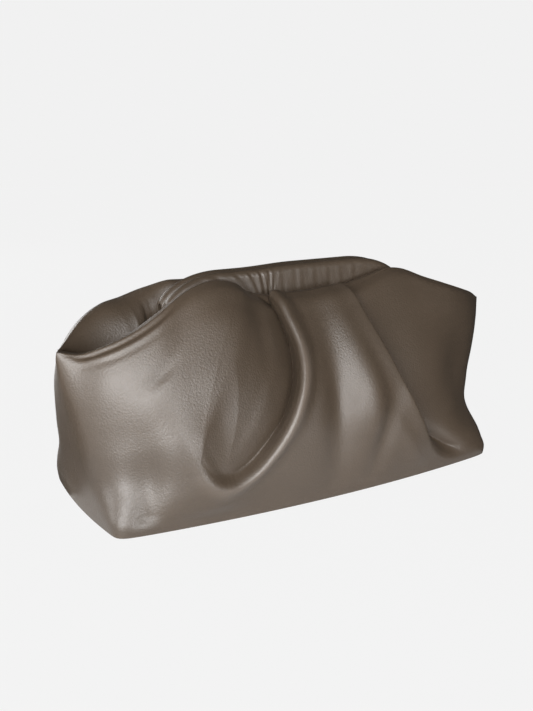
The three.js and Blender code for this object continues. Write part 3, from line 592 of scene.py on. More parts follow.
@dataclass
class Panel:
    """One leather panel from its base edge over the crest to its inner edge."""

    name: str
    side: Side
    crest: Table
    plan: ColumnPlan
    columns: int
    rows: int
    rows_behind: int
    stride: int = 4
    round_left: str = "round_back"
    seam_turn: float = 115.0
    seam_turn_start: float = 0.85
    shoulder_gap_level: float = 0.85
    shoulder_gap_gain: float = 1.2
    crest_blend_level: float = 0.5
    fold_foot_start: float = 0.02
    fold_foot_end: float = 0.10
    fold_fade_level: float = 1.12
    slope_step: float = 0.004
    least_length: float = 1e-9
    guide_passes: int = 4

    def rounded_plan(self, around: Array, roundness: Array) -> tuple[Array, Array]:
        """Unit rounded rectangle: (a, o) scaled by (|a|^n + o^n)^(-1/n), n = 2 / roundness.

        Args:
            around: Place round the panel, side seam to side seam.
            roundness: 0 for square to 1 for oval corners.

        Returns:
            Shares along the bag and outwards.
        """
        power = SIZES.oval_power / roundness
        beyond = np.maximum(np.abs(around) - 1.0, 0.0) / SIZES.end_share
        along = np.clip(around, -1.0, 1.0)
        out = np.maximum(1.0 - beyond, 0.0)
        scale = (np.abs(along) ** power + out**power) ** (-1.0 / power)
        return along * scale, out * scale

    def crest_line(self, around: Array) -> dict[str, Array]:
        """Ridge of the panel: along and plan_out as shares, out and up in millimetres.

        Args:
            around: Place round the panel, side seam to side seam.

        Returns:
            The four values at each place, by name.
        """
        roundness = np.full_like(around, PANEL_TOP["round_left"])
        plan_along, plan_out = self.rounded_plan(around, roundness)
        along = plan_along * PANEL_TOP["left"]
        out = self.crest.smooth("along", "out", along) * SIZES.base_half_depth
        up = self.crest.smooth("along", "up", along) * SIZES.mouth_height
        return {"along": along, "plan_out": plan_out, "out": out, "up": up}

    def below_crest(self, around: Array, level: Array, gap: Array) -> Array:
        """Rounded rectangle that follows the level table and leans onto the crest line.

        Args:
            around: Place round the panel, side seam to side seam.
            level: Level from the base (0) to the crest (1).
            gap: Distance from the plane between both panels.

        Returns:
            Points in millimetres, with a last axis of three.
        """
        read = {name: PANEL_LEVELS.smooth("level", name, level) for name in PANEL_LEVELS.names[1:]}
        crest = self.crest_line(around)
        sign = self.side.value
        left = around < 0.0
        roundness = np.where(left, read[self.round_left], read["round_right"])
        plan_along, plan_out = self.rounded_plan(around, roundness)
        half_length = np.where(left, read["left"], read["right"]) * SIZES.base_half_length
        bulge = read["end_bow"] * SIZES.base_half_length * (1.0 - plan_out**2) * plan_along**4
        depth = (read["depth"] - read["bow"] * plan_along**2) * plan_out
        out = sign * read["seam"] * (1.0 - plan_out) + depth
        top_seam = sign * PANEL_TOP["seam"] * (1.0 - crest["plan_out"])
        top_out = top_seam + PANEL_TOP["depth"] * crest["plan_out"]
        lean = eased_step(self.crest_blend_level, SIZES.crest_level, level)
        full = out * SIZES.base_half_depth + (crest["out"] - top_out * SIZES.base_half_depth) * lean
        along = half_length * plan_along + np.sign(around) * bulge
        return np.stack((along, sign * (full + gap), read["rise"] * crest["up"]), -1)

    def behind_crest(self, around: Array, level: Array, gap: Array) -> Array:
        """Quarter of an ellipse from the crest (sine across, cosine down) to the inner edge.

        Args:
            around: Place round the panel, side seam to side seam.
            level: Level from the crest (1) to the inner edge.
            gap: Distance from the plane between both panels.

        Returns:
            Points in millimetres, with a last axis of three.
        """
        crest = self.crest_line(around)
        share = (level - SIZES.crest_level) / (SIZES.inner_level - SIZES.crest_level)
        turn = np.clip(share, 0.0, 1.0) * (np.pi / 2)
        place = np.abs(crest["along"])
        inner_along = np.sign(crest["along"]) * INNER_EDGE.straight("crest", "along", place)
        inner_up = INNER_EDGE.smooth("crest", "up", place) * SIZES.mouth_height
        shut = INNER_EDGE.straight("crest", "shut", place)
        inner_out = (SIZES.lip_thickness + SIZES.seam_gap / 2) * (1.0 - shut)
        across = np.sin(turn)
        along = crest["along"] + (inner_along - crest["along"]) * across
        out = crest["out"] + (inner_out - crest["out"]) * across
        up = crest["up"] + (inner_up - crest["up"]) * (1.0 - np.cos(turn))
        return np.stack((along * SIZES.base_half_length, self.side.value * (out + gap), up), -1)

    def form(self, around: Array, level: Array) -> Array:
        """Smooth panel without folds: one formula below the crest and one behind it.

        The gap from the plane between both panels widens over the shoulder.

        Args:
            around: Place round the panel, side seam to side seam.
            level: Level from the base (0) over the crest (1) to the inner edge.

        Returns:
            Points in millimetres, with a last axis of three.
        """
        shoulder = eased_step(self.shoulder_gap_level, SIZES.crest_level, level)
        gap = (SIZES.seam_gap / 2) * (1.0 + self.shoulder_gap_gain * shoulder)
        below = self.below_crest(around, np.minimum(level, SIZES.crest_level), gap)
        behind = self.behind_crest(around, level, gap)
        return np.where((level > SIZES.crest_level)[..., None], behind, below)

    def held_form(self, around: Array, level: Array) -> Array:
        """Smooth form, with places beyond its edges held at them."""
        reach = SIZES.end_reach
        return self.form(np.clip(around, -reach, reach), np.clip(level, 0.0, SIZES.inner_level))

    def outward(self, around: Array, level: Array) -> Array:
        """Unit normal of the smooth form: cross product of its two slopes.

        Along a side seam both panels share one direction that is level below the
        shoulder and turns up and inwards over it, so their edges stay parallel.

        Args:
            around: Place round the panel, side seam to side seam.
            level: Level from the base to the inner edge.

        Returns:
            Unit vectors, with a last axis of three.
        """
        step = self.slope_step
        normal = np.cross(
            self.held_form(around + step, level) - self.held_form(around - step, level),
            self.held_form(around, level + step) - self.held_form(around, level - step),
        )
        if self.side is Side.BACK:
            normal = -normal
        normal[..., 2] = np.where(level == 0.0, 0.0, normal[..., 2])
        normal /= np.maximum(np.linalg.norm(normal, axis=-1, keepdims=True), self.least_length)
        shoulder = eased_step(self.seam_turn_start, SIZES.inner_level, level)
        turn = np.radians(self.seam_turn) * shoulder
        seam = np.stack((np.sign(around) * np.cos(turn), np.zeros_like(turn), np.sin(turn)), -1)
        at_seam = np.abs(around) > SIZES.end_reach - step
        return np.where(at_seam[..., None], seam, normal)

    def folds(self, x: Array, z: Array) -> Array:
        """Height of the folds over the smooth form; only soft swells on a plain panel."""
        return swell_height(BACK_SWELLS, x, z)

    def rims(self, x: Array, level: Array) -> Array:
        """Height of the pinched rims beside the crest; none on a plain panel."""
        return np.zeros_like(x)

    def painted_highlight(self, x: Array, z: Array) -> Array:
        """Share of the painted highlight on rolled edges, 0 to 1; none on a plain panel."""
        return np.zeros_like(x)

    def slide(self, x: Array, z: Array) -> Array:
        """How far rolled edges reach sideways over what lies beneath; none on a plain panel."""
        return np.zeros((*x.shape, 3))

    def levels(self) -> Array:
        """Level of each row.

        Returns:
            Levels from the base to the inner edge, rising.
        """
        below = np.linspace(0.0, SIZES.crest_level, self.rows + 1)
        behind = np.linspace(SIZES.crest_level, SIZES.inner_level, self.rows_behind + 1)
        return np.concatenate((below, behind[1:]))

    def places(self, levels: Array) -> Array:
        """Place round the panel of every column at every level, from the column plan.

        Args:
            levels: Level of each row.

        Returns:
            Grid of around measures, by column and row.
        """
        stops = np.stack(
            [
                np.full_like(levels, stop)
                if isinstance(stop, float)
                else self.guided(*stop, levels)
                for stop in self.plan.places
            ]
        )
        shares = np.linspace(0.0, 1.0, self.columns + 1)
        marks = np.array(self.plan.shares)
        weights = np.stack([np.interp(shares, marks, unit) for unit in np.eye(len(marks))], axis=1)
        return weights @ stops

    def guided(self, line: str, aside: float, levels: Array) -> Array:
        """Place round the panel of a column that runs beside a fold line at each level.

        The place along the bag is found by repeated reading of the line at the height of
        the level there, and the rounded rectangle is then solved for its around measure.

        Args:
            line: Name of the fold line.
            aside: Millimetres that the column runs to the right of the line.
            levels: Level of each row.

        Returns:
            The column's place at each level.
        """
        table = FOLD_GUIDES[line]
        up = table.column("up")
        rising = np.nonzero(np.diff(up) > 0)[0]
        last = rising[0] if len(rising) else len(up)
        falling_up = up[:last][::-1]
        falling_along = table.column("along")[:last][::-1]
        low = np.minimum(levels, SIZES.crest_level)
        rise = PANEL_LEVELS.smooth("level", "rise", low)
        place = np.full_like(levels, falling_along[0])
        for _ in range(self.guide_passes):
            height = rise * self.crest.smooth("along", "up", place)
            place = np.interp(height, falling_up, falling_along)
        place = place + aside / SIZES.base_half_length
        half, roundness = (
            np.where(
                place < 0.0,
                PANEL_LEVELS.smooth("level", on_left, low),
                PANEL_LEVELS.smooth("level", on_right, low),
            )
            for on_left, on_right in (("left", "right"), (self.round_left, "round_right"))
        )
        power = SIZES.oval_power / roundness
        share = np.abs(place / half)
        return np.sign(place) * share / (1.0 - share**power) ** (1.0 / power)

    def build(self) -> bpy.types.Object:
        """Build the closed sheet: outer face is form + normal * folds, inner is a wall below.

        Returns:
            The piece as an object.
        """
        levels = self.levels()
        around = self.places(levels)
        level = np.broadcast_to(levels, around.shape).copy()
        form = self.form(around, level)
        x, z = form[..., 0], form[..., 2]
        outward = self.outward(around, level)
        above_foot = eased_step(self.fold_foot_start, self.fold_foot_end, level)
        shown = above_foot * eased_step(self.fold_fade_level, SIZES.crest_level, level)
        height = self.folds(x, z) * shown + self.rims(x, level)
        outer = form + outward * height[..., None] + self.slide(x, z) * shown[..., None]
        inner = outer - outward * SIZES.leather
        LOG.info("%s: %d x %d points", self.name, *around.shape)
        piece = Sheet(outer, inner, self.stride, self.side is Side.FRONT).build(self.name)
        # Painted highlight: a share per point, stored as an attribute, that lightens the leather's colour along the
        # rolled edges.
        painted_highlight = np.zeros(len(piece.data.vertices))
        painted_highlight[: around.size] = (self.painted_highlight(x, z) * shown).ravel()
        piece.data.attributes.new("painted_highlight", "FLOAT", "POINT").data.foreach_set("value", painted_highlight)
        return piece


@dataclass
class FrontPanel(Panel):
    """The front panel with its curved pleat and straight lap."""

    roll_height: float = 3.4
    roll_full_depth: float = 7.0
    rim_height: float = 0.9
    rim_pitch: float = 0.062
    rim_fade: float = 0.075
    rim_start: float = -0.60
    rim_full: float = -0.72
    rim_end: float = -1.08
    rim_end_fade: float = 0.1
    hollow_end_start: float = -0.717
    hollow_end_full: float = -0.538
    least_across: float = 1e-6
    lap_foot_share: float = 0.4
    lap_reach_width: float = 4.2
    lap_recovery: float = 62.0
    lap_recovery_power: float = 1.8
    lap_roll_height: float = 1.2
    lap_roll_width: float = 4.0
    lap_roll_setback: float = 1.0
    # Painted highlight along the rolled edges: its share at the lap, the heights where it fades in, and the power of
    # the roll's section.
    lap_highlight: float = 0.10
    highlight_top: float = 0.80
    highlight_full: float = 0.58
    highlight_power: int = 3

    def folds(self, x: Array, z: Array) -> Array:
        """Curved pleat, straight lap and swells together."""
        return self.curved_pleat(x, z) + self.straight_lap(x, z) + swell_height(FRONT_SWELLS, x, z)

    def rims(self, x: Array, level: Array) -> Array:
        """Pinched rim under the left crest: a cosine of the level that fades downwards.

        Args:
            x: Places along the bag.
            level: Level of each place.

        Returns:
            Height over the smooth form.
        """
        under = SIZES.crest_level - level
        along = x / SIZES.base_half_length
        ends = eased_step(self.rim_start, self.rim_full, along) * eased_step(
            self.rim_end, self.rim_end + self.rim_end_fade, along
        )
        wave = np.cos(2.0 * np.pi * under / self.rim_pitch)
        return self.rim_height * wave * bell(under / self.rim_fade) * ends

    def hollow_depth(self, z: Array) -> Array:
        """Full depth of the hollow at each height."""
        return HOLLOW_DEPTH.smooth("up", "depth", z / SIZES.mouth_height)

    def hollow_fade(self, x: Array) -> Array:
        """Share of the hollow that is left near its end, 0 at the left."""
        along = x / SIZES.base_half_length
        return eased_step(self.hollow_end_start, self.hollow_end_full, along)

    def pleat_section(self, pleat: dict[str, Array], name: str) -> Array:
        """One value of the section across the pleat, at places found by its fold line."""
        return PLEAT_SECTION.smooth("across", name, -pleat["signed"] / pleat["width"])

    def lap_bell(self, lap: dict[str, Array], width: float) -> Array:
        """Bell along the lap's rolled edge, just left of the step."""
        return bell((lap["signed"] + lap["width"] + self.lap_roll_setback) / width)

    def curved_pleat(self, x: Array, z: Array) -> Array:
        """Hollow that falls from its left side and dives under the pleat's rolled edge.

        The share across the hollow is a / (a + b), with a the distance from its left side
        and b the distance from the pleat, and the profile table turns it into depth.

        Args:
            x: Places along the bag.
            z: Heights.

        Returns:
            Height over the smooth form, negative in the hollow.
        """
        pleat = FoldLine(CURVED_PLEAT).nearest(x, z)
        side = FoldLine(HOLLOW_SIDE).nearest(x, z)
        from_side = np.maximum(side["signed"], 0.0)
        from_pleat = np.maximum(-pleat["signed"], 0.0)
        across = from_side / (from_side + from_pleat + self.least_across)
        share = np.where(
            side["signed"] > 0.0, HOLLOW_PROFILE.smooth("across", "share", across), 0.0
        )
        full = self.hollow_depth(z)
        roll = self.roll_height * eased_step(0.0, self.roll_full_depth, full)
        roll = roll * self.pleat_section(pleat, "roll")
        drop = full * share * self.pleat_section(pleat, "drop")
        return (roll - drop) * self.hollow_fade(x)

    def straight_lap(self, x: Array, z: Array) -> Array:
        """Drop from the left layer to the right one, which recovers slowly to the right.

        The recovery is exp(-(distance / reach) ** power).

        Args:
            x: Places along the bag.
            z: Heights.

        Returns:
            Height over the smooth form, negative right of the lap.
        """
        lap = FoldLine(STRAIGHT_LAP).nearest(x, z)
        drop = eased_step(-self.lap_foot_share * lap["width"], lap["width"], lap["signed"])
        beyond = np.maximum(lap["signed"] - lap["width"], 0.0) / self.lap_recovery
        deepest = STRAIGHT_LAP.column("depth").max()
        roll = self.lap_roll_height * (lap["depth"] / deepest)
        roll = roll * self.lap_bell(lap, self.lap_roll_width)
        return roll - lap["depth"] * drop * np.exp(-(beyond**self.lap_recovery_power))

    def painted_highlight(self, x: Array, z: Array) -> Array:
        """Share of the painted highlight: the cube of the roll's section at the pleat, a bell at the lap.

        Args:
            x: Places along the bag.
            z: Heights.

        Returns:
            The share at each place.
        """
        pleat = FoldLine(CURVED_PLEAT).nearest(x, z)
        lap = FoldLine(STRAIGHT_LAP).nearest(x, z)
        painted_sheen = self.pleat_section(pleat, "roll") ** self.highlight_power * self.hollow_fade(x)
        below = eased_step(self.highlight_top, self.highlight_full, z / SIZES.mouth_height)
        deep = eased_step(0.0, self.roll_full_depth, self.hollow_depth(z))
        return painted_sheen * below * deep + self.lap_highlight * self.lap_bell(lap, self.lap_roll_width)

    def slide(self, x: Array, z: Array) -> Array:
        """Sideways reach of both rolled edges, at right angles to their lines.

        Args:
            x: Places along the bag.
            z: Heights.

        Returns:
            Shift of each point in millimetres, with a last axis of three.
        """
        pleat = FoldLine(CURVED_PLEAT).nearest(x, z)
        lap = FoldLine(STRAIGHT_LAP).nearest(x, z)
        pleat_reach = pleat["overlap"] * self.pleat_section(pleat, "reach")
        lap_reach = lap["overlap"] * self.lap_bell(lap, self.lap_reach_width)
        along = pleat["way_z"] * pleat_reach - lap["way_z"] * lap_reach
        up = lap["way_x"] * lap_reach - pleat["way_x"] * pleat_reach
        return np.stack((along, np.zeros_like(x), up), -1)


@dataclass
class Lip:
    """A gathered strip of leather folded over one bar of the hidden frame.

    Each pair of values is where a fade starts and where it is complete, in millimetres
    or, for the heights and the left drop, as shares. A sway is a size and a spacing.
    """

    name: str
    side: Side
    columns: int = 480
    face_rows: int = 12
    round_rows: int = 18
    stride: int = 6
    half_length: float = 91.0
    shift: float = 3.0
    height: float = 30.0
    end_drop: float = 25.0
    straight_share: float = 0.55
    bend_share: float = 0.48
    left_drop: float = 1.5
    left_drop_span: tuple[float, float] = (0.1, -0.35)
    gather_depth: float = 0.8
    gather_foot: tuple[float, float] = (0.15, 0.4)
    gather_top: tuple[float, float] = (1.02, 0.8)
    fan_share: float = 0.32
    fan_x: float = -14.0
    fan_z: float = 106.0
    fan_count: float = 34.0
    fan_fine_count: float = 64.6
    fan_fine_share: float = 0.5
    fan_right: tuple[float, float] = (-6.0, -20.0)
    fan_left: tuple[float, float] = (-74.0, -58.0)
    fan_sway: tuple[float, float] = (0.9, 7.0)
    fan_uneven: tuple[float, float] = (0.7, 5.0)
    fan_fine_spacing: float = 5.0
    upright_share: float = 0.10
    upright_pitch: float = 9.5
    upright_fine_pitch: float = 5.3
    upright_fine_share: float = 0.4
    upright_left: tuple[float, float] = (-16.0, -4.0)
    upright_right: tuple[float, float] = (74.0, 50.0)
    upright_sway: tuple[float, float] = (1.1, 11.0)
    upright_lean: float = 6.0

    def top(self, x: Array) -> Array:
        """Top edge: level, then an arc of an ellipse at each end, a little lower on the left.

        Args:
            x: Places along the bag.

        Returns:
            Height of the top edge at each place.
        """
        straight = self.half_length * self.straight_share
        beyond = np.maximum(np.abs(x - self.shift) - straight, 0.0)
        bend = self.half_length * self.bend_share
        left = self.left_drop * eased_step(*self.left_drop_span, x / self.half_length)
        drop = self.end_drop * (1.0 - np.sqrt(1.0 - (beyond / bend) ** 2))
        return SIZES.mouth_height - left - drop

    def fan(self, x: Array, z: Array) -> Array:
        """Fan about the pleat's notch: a cosine of the angle, and a finer one over it.

        Args:
            x: Places along the bag.
            z: Heights.

        Returns:
            The wave, about -1.5 to 1.5, faded at both ends.
        """
        angle = np.arctan2(x - self.fan_x, z - self.fan_z)
        reach = np.hypot(x - self.fan_x, z - self.fan_z)
        sway, sway_spacing = self.fan_sway
        uneven, uneven_count = self.fan_uneven
        shift = sway * np.sin(reach / sway_spacing) + uneven * np.sin(uneven_count * angle)
        wave = np.cos(self.fan_count * angle + shift)
        fine = np.cos(self.fan_fine_count * angle + reach / self.fan_fine_spacing)
        ends = eased_step(*self.fan_right, x) * eased_step(*self.fan_left, x)
        return (wave + self.fan_fine_share * fine) * ends

    def upright(self, x: Array, z: Array) -> Array:
        """Upright folds: a cosine of the place, and a finer one that leans over it.

        Args:
            x: Places along the bag.
            z: Heights.

        Returns:
            The wave, about -1.4 to 1.4, faded at both ends.
        """
        sway, sway_spacing = self.upright_sway
        wave = np.cos(2 * np.pi * x / self.upright_pitch + sway * np.sin(x / sway_spacing))
        fine = np.cos(2 * np.pi * x / self.upright_fine_pitch + z / self.upright_lean)
        ends = eased_step(*self.upright_left, x) * eased_step(*self.upright_right, x)
        return (wave + self.upright_fine_share * fine) * ends

    def gathers(self, x: Array, z: Array) -> Array:
        """Fine folds: the fan and the upright ones, faded at the foot and over the top.

        Args:
            x: Places along the bag.
            z: Heights.

        Returns:
            Height of the folds over the plain strip, in millimetres.
        """
        share = (z - (SIZES.mouth_height - self.height)) / self.height
        wave = self.fan_share * self.fan(x, z) + self.upright_share * self.upright(x, z)
        fade = eased_step(*self.gather_foot, share) * eased_step(*self.gather_top, share)
        return self.gather_depth * wave * fade

    def face(self, inset: float) -> Array:
        """One face of the folded strip: up the outside, over the top and down the inside.

        Args:
            inset: How far the face lies inside the leather's outer side.

        Returns:
            Grid of points in millimetres, by column and row.
        """
        share = np.linspace(-1.0, 1.0, self.columns + 1)
        rows = 2 * self.face_rows + self.round_rows
        stations = self.shift + self.half_length * share
        x, index = np.meshgrid(stations, np.arange(rows + 1), indexing="ij")
        radius = SIZES.lip_thickness / 2 - inset
        middle = SIZES.seam_gap / 2 + SIZES.lip_thickness / 2
        foot = SIZES.mouth_height - self.height
        spring = self.top(x) - SIZES.lip_thickness / 2
        turn = np.clip((index - self.face_rows) / self.round_rows, 0.0, 1.0) * np.pi
        climb = np.clip(np.minimum(index, rows - index) / self.face_rows, 0.0, 1.0)
        out = radius * np.cos(turn)
        up = foot + (spring - foot) * climb + radius * np.sin(turn)
        wave = self.gathers(x, up) * eased_step(0.0, 1.0, out / radius)
        return np.stack((x, self.side.value * (middle + out + wave), up), -1)

    def build(self) -> bpy.types.Object:
        """Build the strip as a closed sheet.

        Returns:
            The piece as an object.
        """
        LOG.info("%s: %d columns", self.name, self.columns)
        faces_out = self.side is Side.FRONT
        sheet = Sheet(self.face(0.0), self.face(SIZES.leather), self.stride, faces_out)
        return sheet.build(self.name)


@dataclass
class Base:
    """The leather base: a plate with rounded edges inside the foot of both panels."""

    name: str
    front: Panel
    back: Panel
    thickness: float = 2.0
    edge_round: float = 0.7
    edge_points: int = 5
    rings: int = 10
    inmost_ring: float = 30.0

    def outline(self) -> Array:
        """Closed plan of the plate: foot of both panels pushed in by the wall and the gap.

        Returns:
            Points round the plate, by x and y.
        """
        sides = []
        for panel in (self.front, self.back):
            around = panel.places(np.zeros(1))[:, 0]
            level = np.zeros_like(around)
            inwards = panel.outward(around, level) * (SIZES.leather + SIZES.seam_gap)
            points = (panel.form(around, level) - inwards)[:, :2]
            sides.append(points if panel.side is Side.FRONT else points[::-1])
        return np.concatenate((sides[0][:-1], sides[1][:-1]))

    def section(self) -> tuple[Array, Array]:
        """Inset and height of each ring: over the top, round the edge, under the bottom.

        Returns:
            Inset and height of each ring, in millimetres.
        """
        turn = np.linspace(0.0, np.pi / 2, self.edge_points)
        falling = self.edge_round * (1 - np.sin(turn))
        rising = self.edge_round * (1 - np.cos(turn))
        flat = np.linspace(self.inmost_ring, self.edge_round, self.rings)[:-1]
        inset = np.concatenate((flat, falling, rising[1:], flat[::-1]))
        top = np.full(flat.size, self.thickness)
        bottom = np.zeros(flat.size)
        height = np.concatenate((top, self.thickness - rising, falling[1:], bottom))
        return inset, height

    def build(self) -> bpy.types.Object:
        """Build the plate as rings from the middle of its top round the edge to its underside.

        Returns:
            The piece as an object.
        """
        plan = self.outline()
        inset, height = self.section()
        half = np.array((SIZES.base_half_length, SIZES.base_half_depth))
        flat = plan * (1.0 - inset[:, None] / half)[:, None]
        upright = np.broadcast_to(height[:, None, None], (*flat.shape[:2], 1))
        rings = np.concatenate((flat, upright), -1).reshape(-1, 3)
        points = np.concatenate((rings, ((0.0, 0.0, self.thickness), (0.0, 0.0, 0.0))))
        top, bottom = len(rings), len(rings) + 1
        index = ring_numbers(len(inset), len(plan))
        faces = [*map(tuple, grid_faces(index).tolist())]
        faces += [(top, a, b) for a, b in zip(index[0, :-1].tolist(), index[0, 1:].tolist())]
        faces += [(bottom, b, a) for a, b in zip(index[-1, :-1].tolist(), index[-1, 1:].tolist())]
        LOG.info("%s: %d points", self.name, len(points))
        return write_mesh(self.name, points, faces)


@dataclass(frozen=True)
class MetalFinish:
    """Dark brushed nickel of the hidden frame."""

    name: str
    colour: tuple[float, float, float] = (0.20, 0.18, 0.16)
    roughness: float = 0.42
    brush_scale: float = 600.0
    brush_strength: float = 0.2
    brush_depth: float = 0.0001

    def build(self) -> bpy.types.Material:
        """Make the material, with a fine brushed bump.

        Returns:
            The material.
        """
        material = bpy.data.materials.new(self.name)
        material.use_nodes = True
        tree = ShaderTree(material.node_tree)
        shader = material.node_tree.nodes["Principled BSDF"]
        shader.inputs["Base Color"].default_value = (*self.colour, 1.0)
        shader.inputs["Metallic"].default_value = 1.0
        shader.inputs["Roughness"].default_value = self.roughness
        place = tree.add("ShaderNodeTexCoord").outputs["Object"]
        brush = tree.noise(place, self.brush_scale)
        bump = tree.bump(brush, self.brush_strength, self.brush_depth)
        tree.link(bump, shader.inputs["Normal"])
        return material


class ShaderTree:
    """Small helper that adds and joins nodes in one tree."""

    def __init__(self, tree: bpy.types.NodeTree) -> None:
        """Keep the tree.

        Args:
            tree: Node tree to fill.
        """
        self.tree = tree

    def add(self, kind: str, **settings: object) -> bpy.types.Node:
        """Add a node and set its properties.

        Args:
            kind: Type of the node.
            settings: Its properties by name.

        Returns:
            The new node.
        """
        node = self.tree.nodes.new(kind)
        for name, value in settings.items():
            setattr(node, name, value)
        return node

    def link(self, source: bpy.types.NodeSocket, target: bpy.types.NodeSocket) -> None:
        """Join two sockets."""
        self.tree.links.new(source, target)

    def noise(
        self,
        place: bpy.types.NodeSocket,
        scale: float | bpy.types.NodeSocket,
        detail: float = 2.0,
        roughness: float = 0.5,
    ) -> bpy.types.NodeSocket:
        """Add a noise read at place.

        Args:
            place: Where to read it.
            scale: Waves to the metre, as a number or a socket.
            detail: How many finer layers it has.
            roughness: How strong the finer layers are.

        Returns:
            The noise, about 0 to 1.
        """
        node = self.add("ShaderNodeTexNoise")
        self.link(place, node.inputs["Vector"])
        self.set(node.inputs["Scale"], scale)
        node.inputs["Detail"].default_value = detail
        node.inputs["Roughness"].default_value = roughness
        return node.outputs["Fac"]

    def bump(
        self, height: bpy.types.NodeSocket, strength: float, depth: float
    ) -> bpy.types.NodeSocket:
        """Add a bump of a height in metres, and return its normal.

        Args:
            height: Height of the surface, about 0 to 1.
            strength: How much of the bump counts.
            depth: Metres that a height of 1 stands for.

        Returns:
            The bumped normal.
        """
        node = self.add("ShaderNodeBump")
        node.inputs["Strength"].default_value = strength
        node.inputs["Distance"].default_value = depth
        self.link(height, node.inputs["Height"])
        return node.outputs["Normal"]

    def set(self, socket: bpy.types.NodeSocket, value: float | bpy.types.NodeSocket) -> None:
        """Join a socket to another one, or give it a constant value.

        Args:
            socket: Input to fill.
            value: Output to join, or a number.
        """
        if isinstance(value, bpy.types.NodeSocket):
            self.link(value, socket)
        else:
            socket.default_value = value

    def mix(self, *parts: tuple[bpy.types.NodeSocket, float]) -> bpy.types.NodeSocket:
        """Sum of sockets, each times its own share.

        Args:
            parts: Pairs of a socket and its share.

        Returns:
            The sum.
        """
        total = self.math("MULTIPLY", *parts[0])
        for part in parts[1:]:
            total = self.math("ADD", total, self.math("MULTIPLY", *part))
        return total

    def math(self, operation: str, first: object, second: object) -> bpy.types.NodeSocket:
        """Add a Math node whose inputs are sockets or numbers, and return its output.

        Args:
            operation: Name of the operation.
            first: Socket or number.
            second: Socket or number.

        Returns:
            The node's output.
        """
        node = self.add("ShaderNodeMath", operation=operation)
        self.set(node.inputs[0], first)
        self.set(node.inputs[1], second)
        return node.outputs[0]


@dataclass(frozen=True)
class LeatherSurface:
    """The effect that every leather finish shares: pebbled grain, creases and slow clouds.

    Each share is how much one of them adds to the grain's height, the tone or the gloss.
    """

    name: str = "leather_surface"
    pebble_randomness: float = 0.9
    fine_scale_share: float = 0.9
    fine_detail: float = 4.0
    fine_roughness: float = 0.6
    crease_scale: float = 55.0
    crease_detail: float = 5.0
    cloud_scale: float = 9.0
    cloud_detail: float = 3.0
    pebble_height: float = 0.5
    fine_height: float = 0.6
    crease_height: float = 0.5
    cloud_tone: float = 0.6
    fine_tone: float = 0.4
    fine_gloss: float = 0.5
    cloud_gloss: float = 0.5

    def build(self) -> bpy.types.NodeTree:
        """Build the node group once.

        Returns:
            The group, with input Grain Scale, and outputs Height, Tone and Gloss.
        """
        group = bpy.data.node_groups.new(self.name, "ShaderNodeTree")
        group.interface.new_socket("Grain Scale", in_out="INPUT", socket_type="NodeSocketFloat")
        for name in ("Height", "Tone", "Gloss"):
            group.interface.new_socket(name, in_out="OUTPUT", socket_type="NodeSocketFloat")
        tree = ShaderTree(group)
        scale = tree.add("NodeGroupInput").outputs["Grain Scale"]
        end = tree.add("NodeGroupOutput")
        place = tree.add("ShaderNodeTexCoord").outputs["Object"]
        cells = tree.add("ShaderNodeTexVoronoi", feature="F1", distance="EUCLIDEAN")
        cells.inputs["Randomness"].default_value = self.pebble_randomness
        tree.link(place, cells.inputs["Vector"])
        tree.link(scale, cells.inputs["Scale"])
        pebble = tree.math("SUBTRACT", 1.0, cells.outputs["Distance"])
        fine_scale = tree.math("MULTIPLY", scale, self.fine_scale_share)
        fine = tree.noise(place, fine_scale, self.fine_detail, self.fine_roughness)
        crease = tree.noise(place, self.crease_scale, self.crease_detail)
        cloud = tree.noise(place, self.cloud_scale, self.cloud_detail)
        height = tree.mix(
            (pebble, self.pebble_height), (fine, self.fine_height), (crease, self.crease_height)
        )
        tree.link(height, end.inputs["Height"])
        tree.link(tree.mix((cloud, self.cloud_tone), (fine, self.fine_tone)), end.inputs["Tone"])
        tree.link(tree.mix((fine, self.fine_gloss), (cloud, self.cloud_gloss)), end.inputs["Gloss"])
        return group


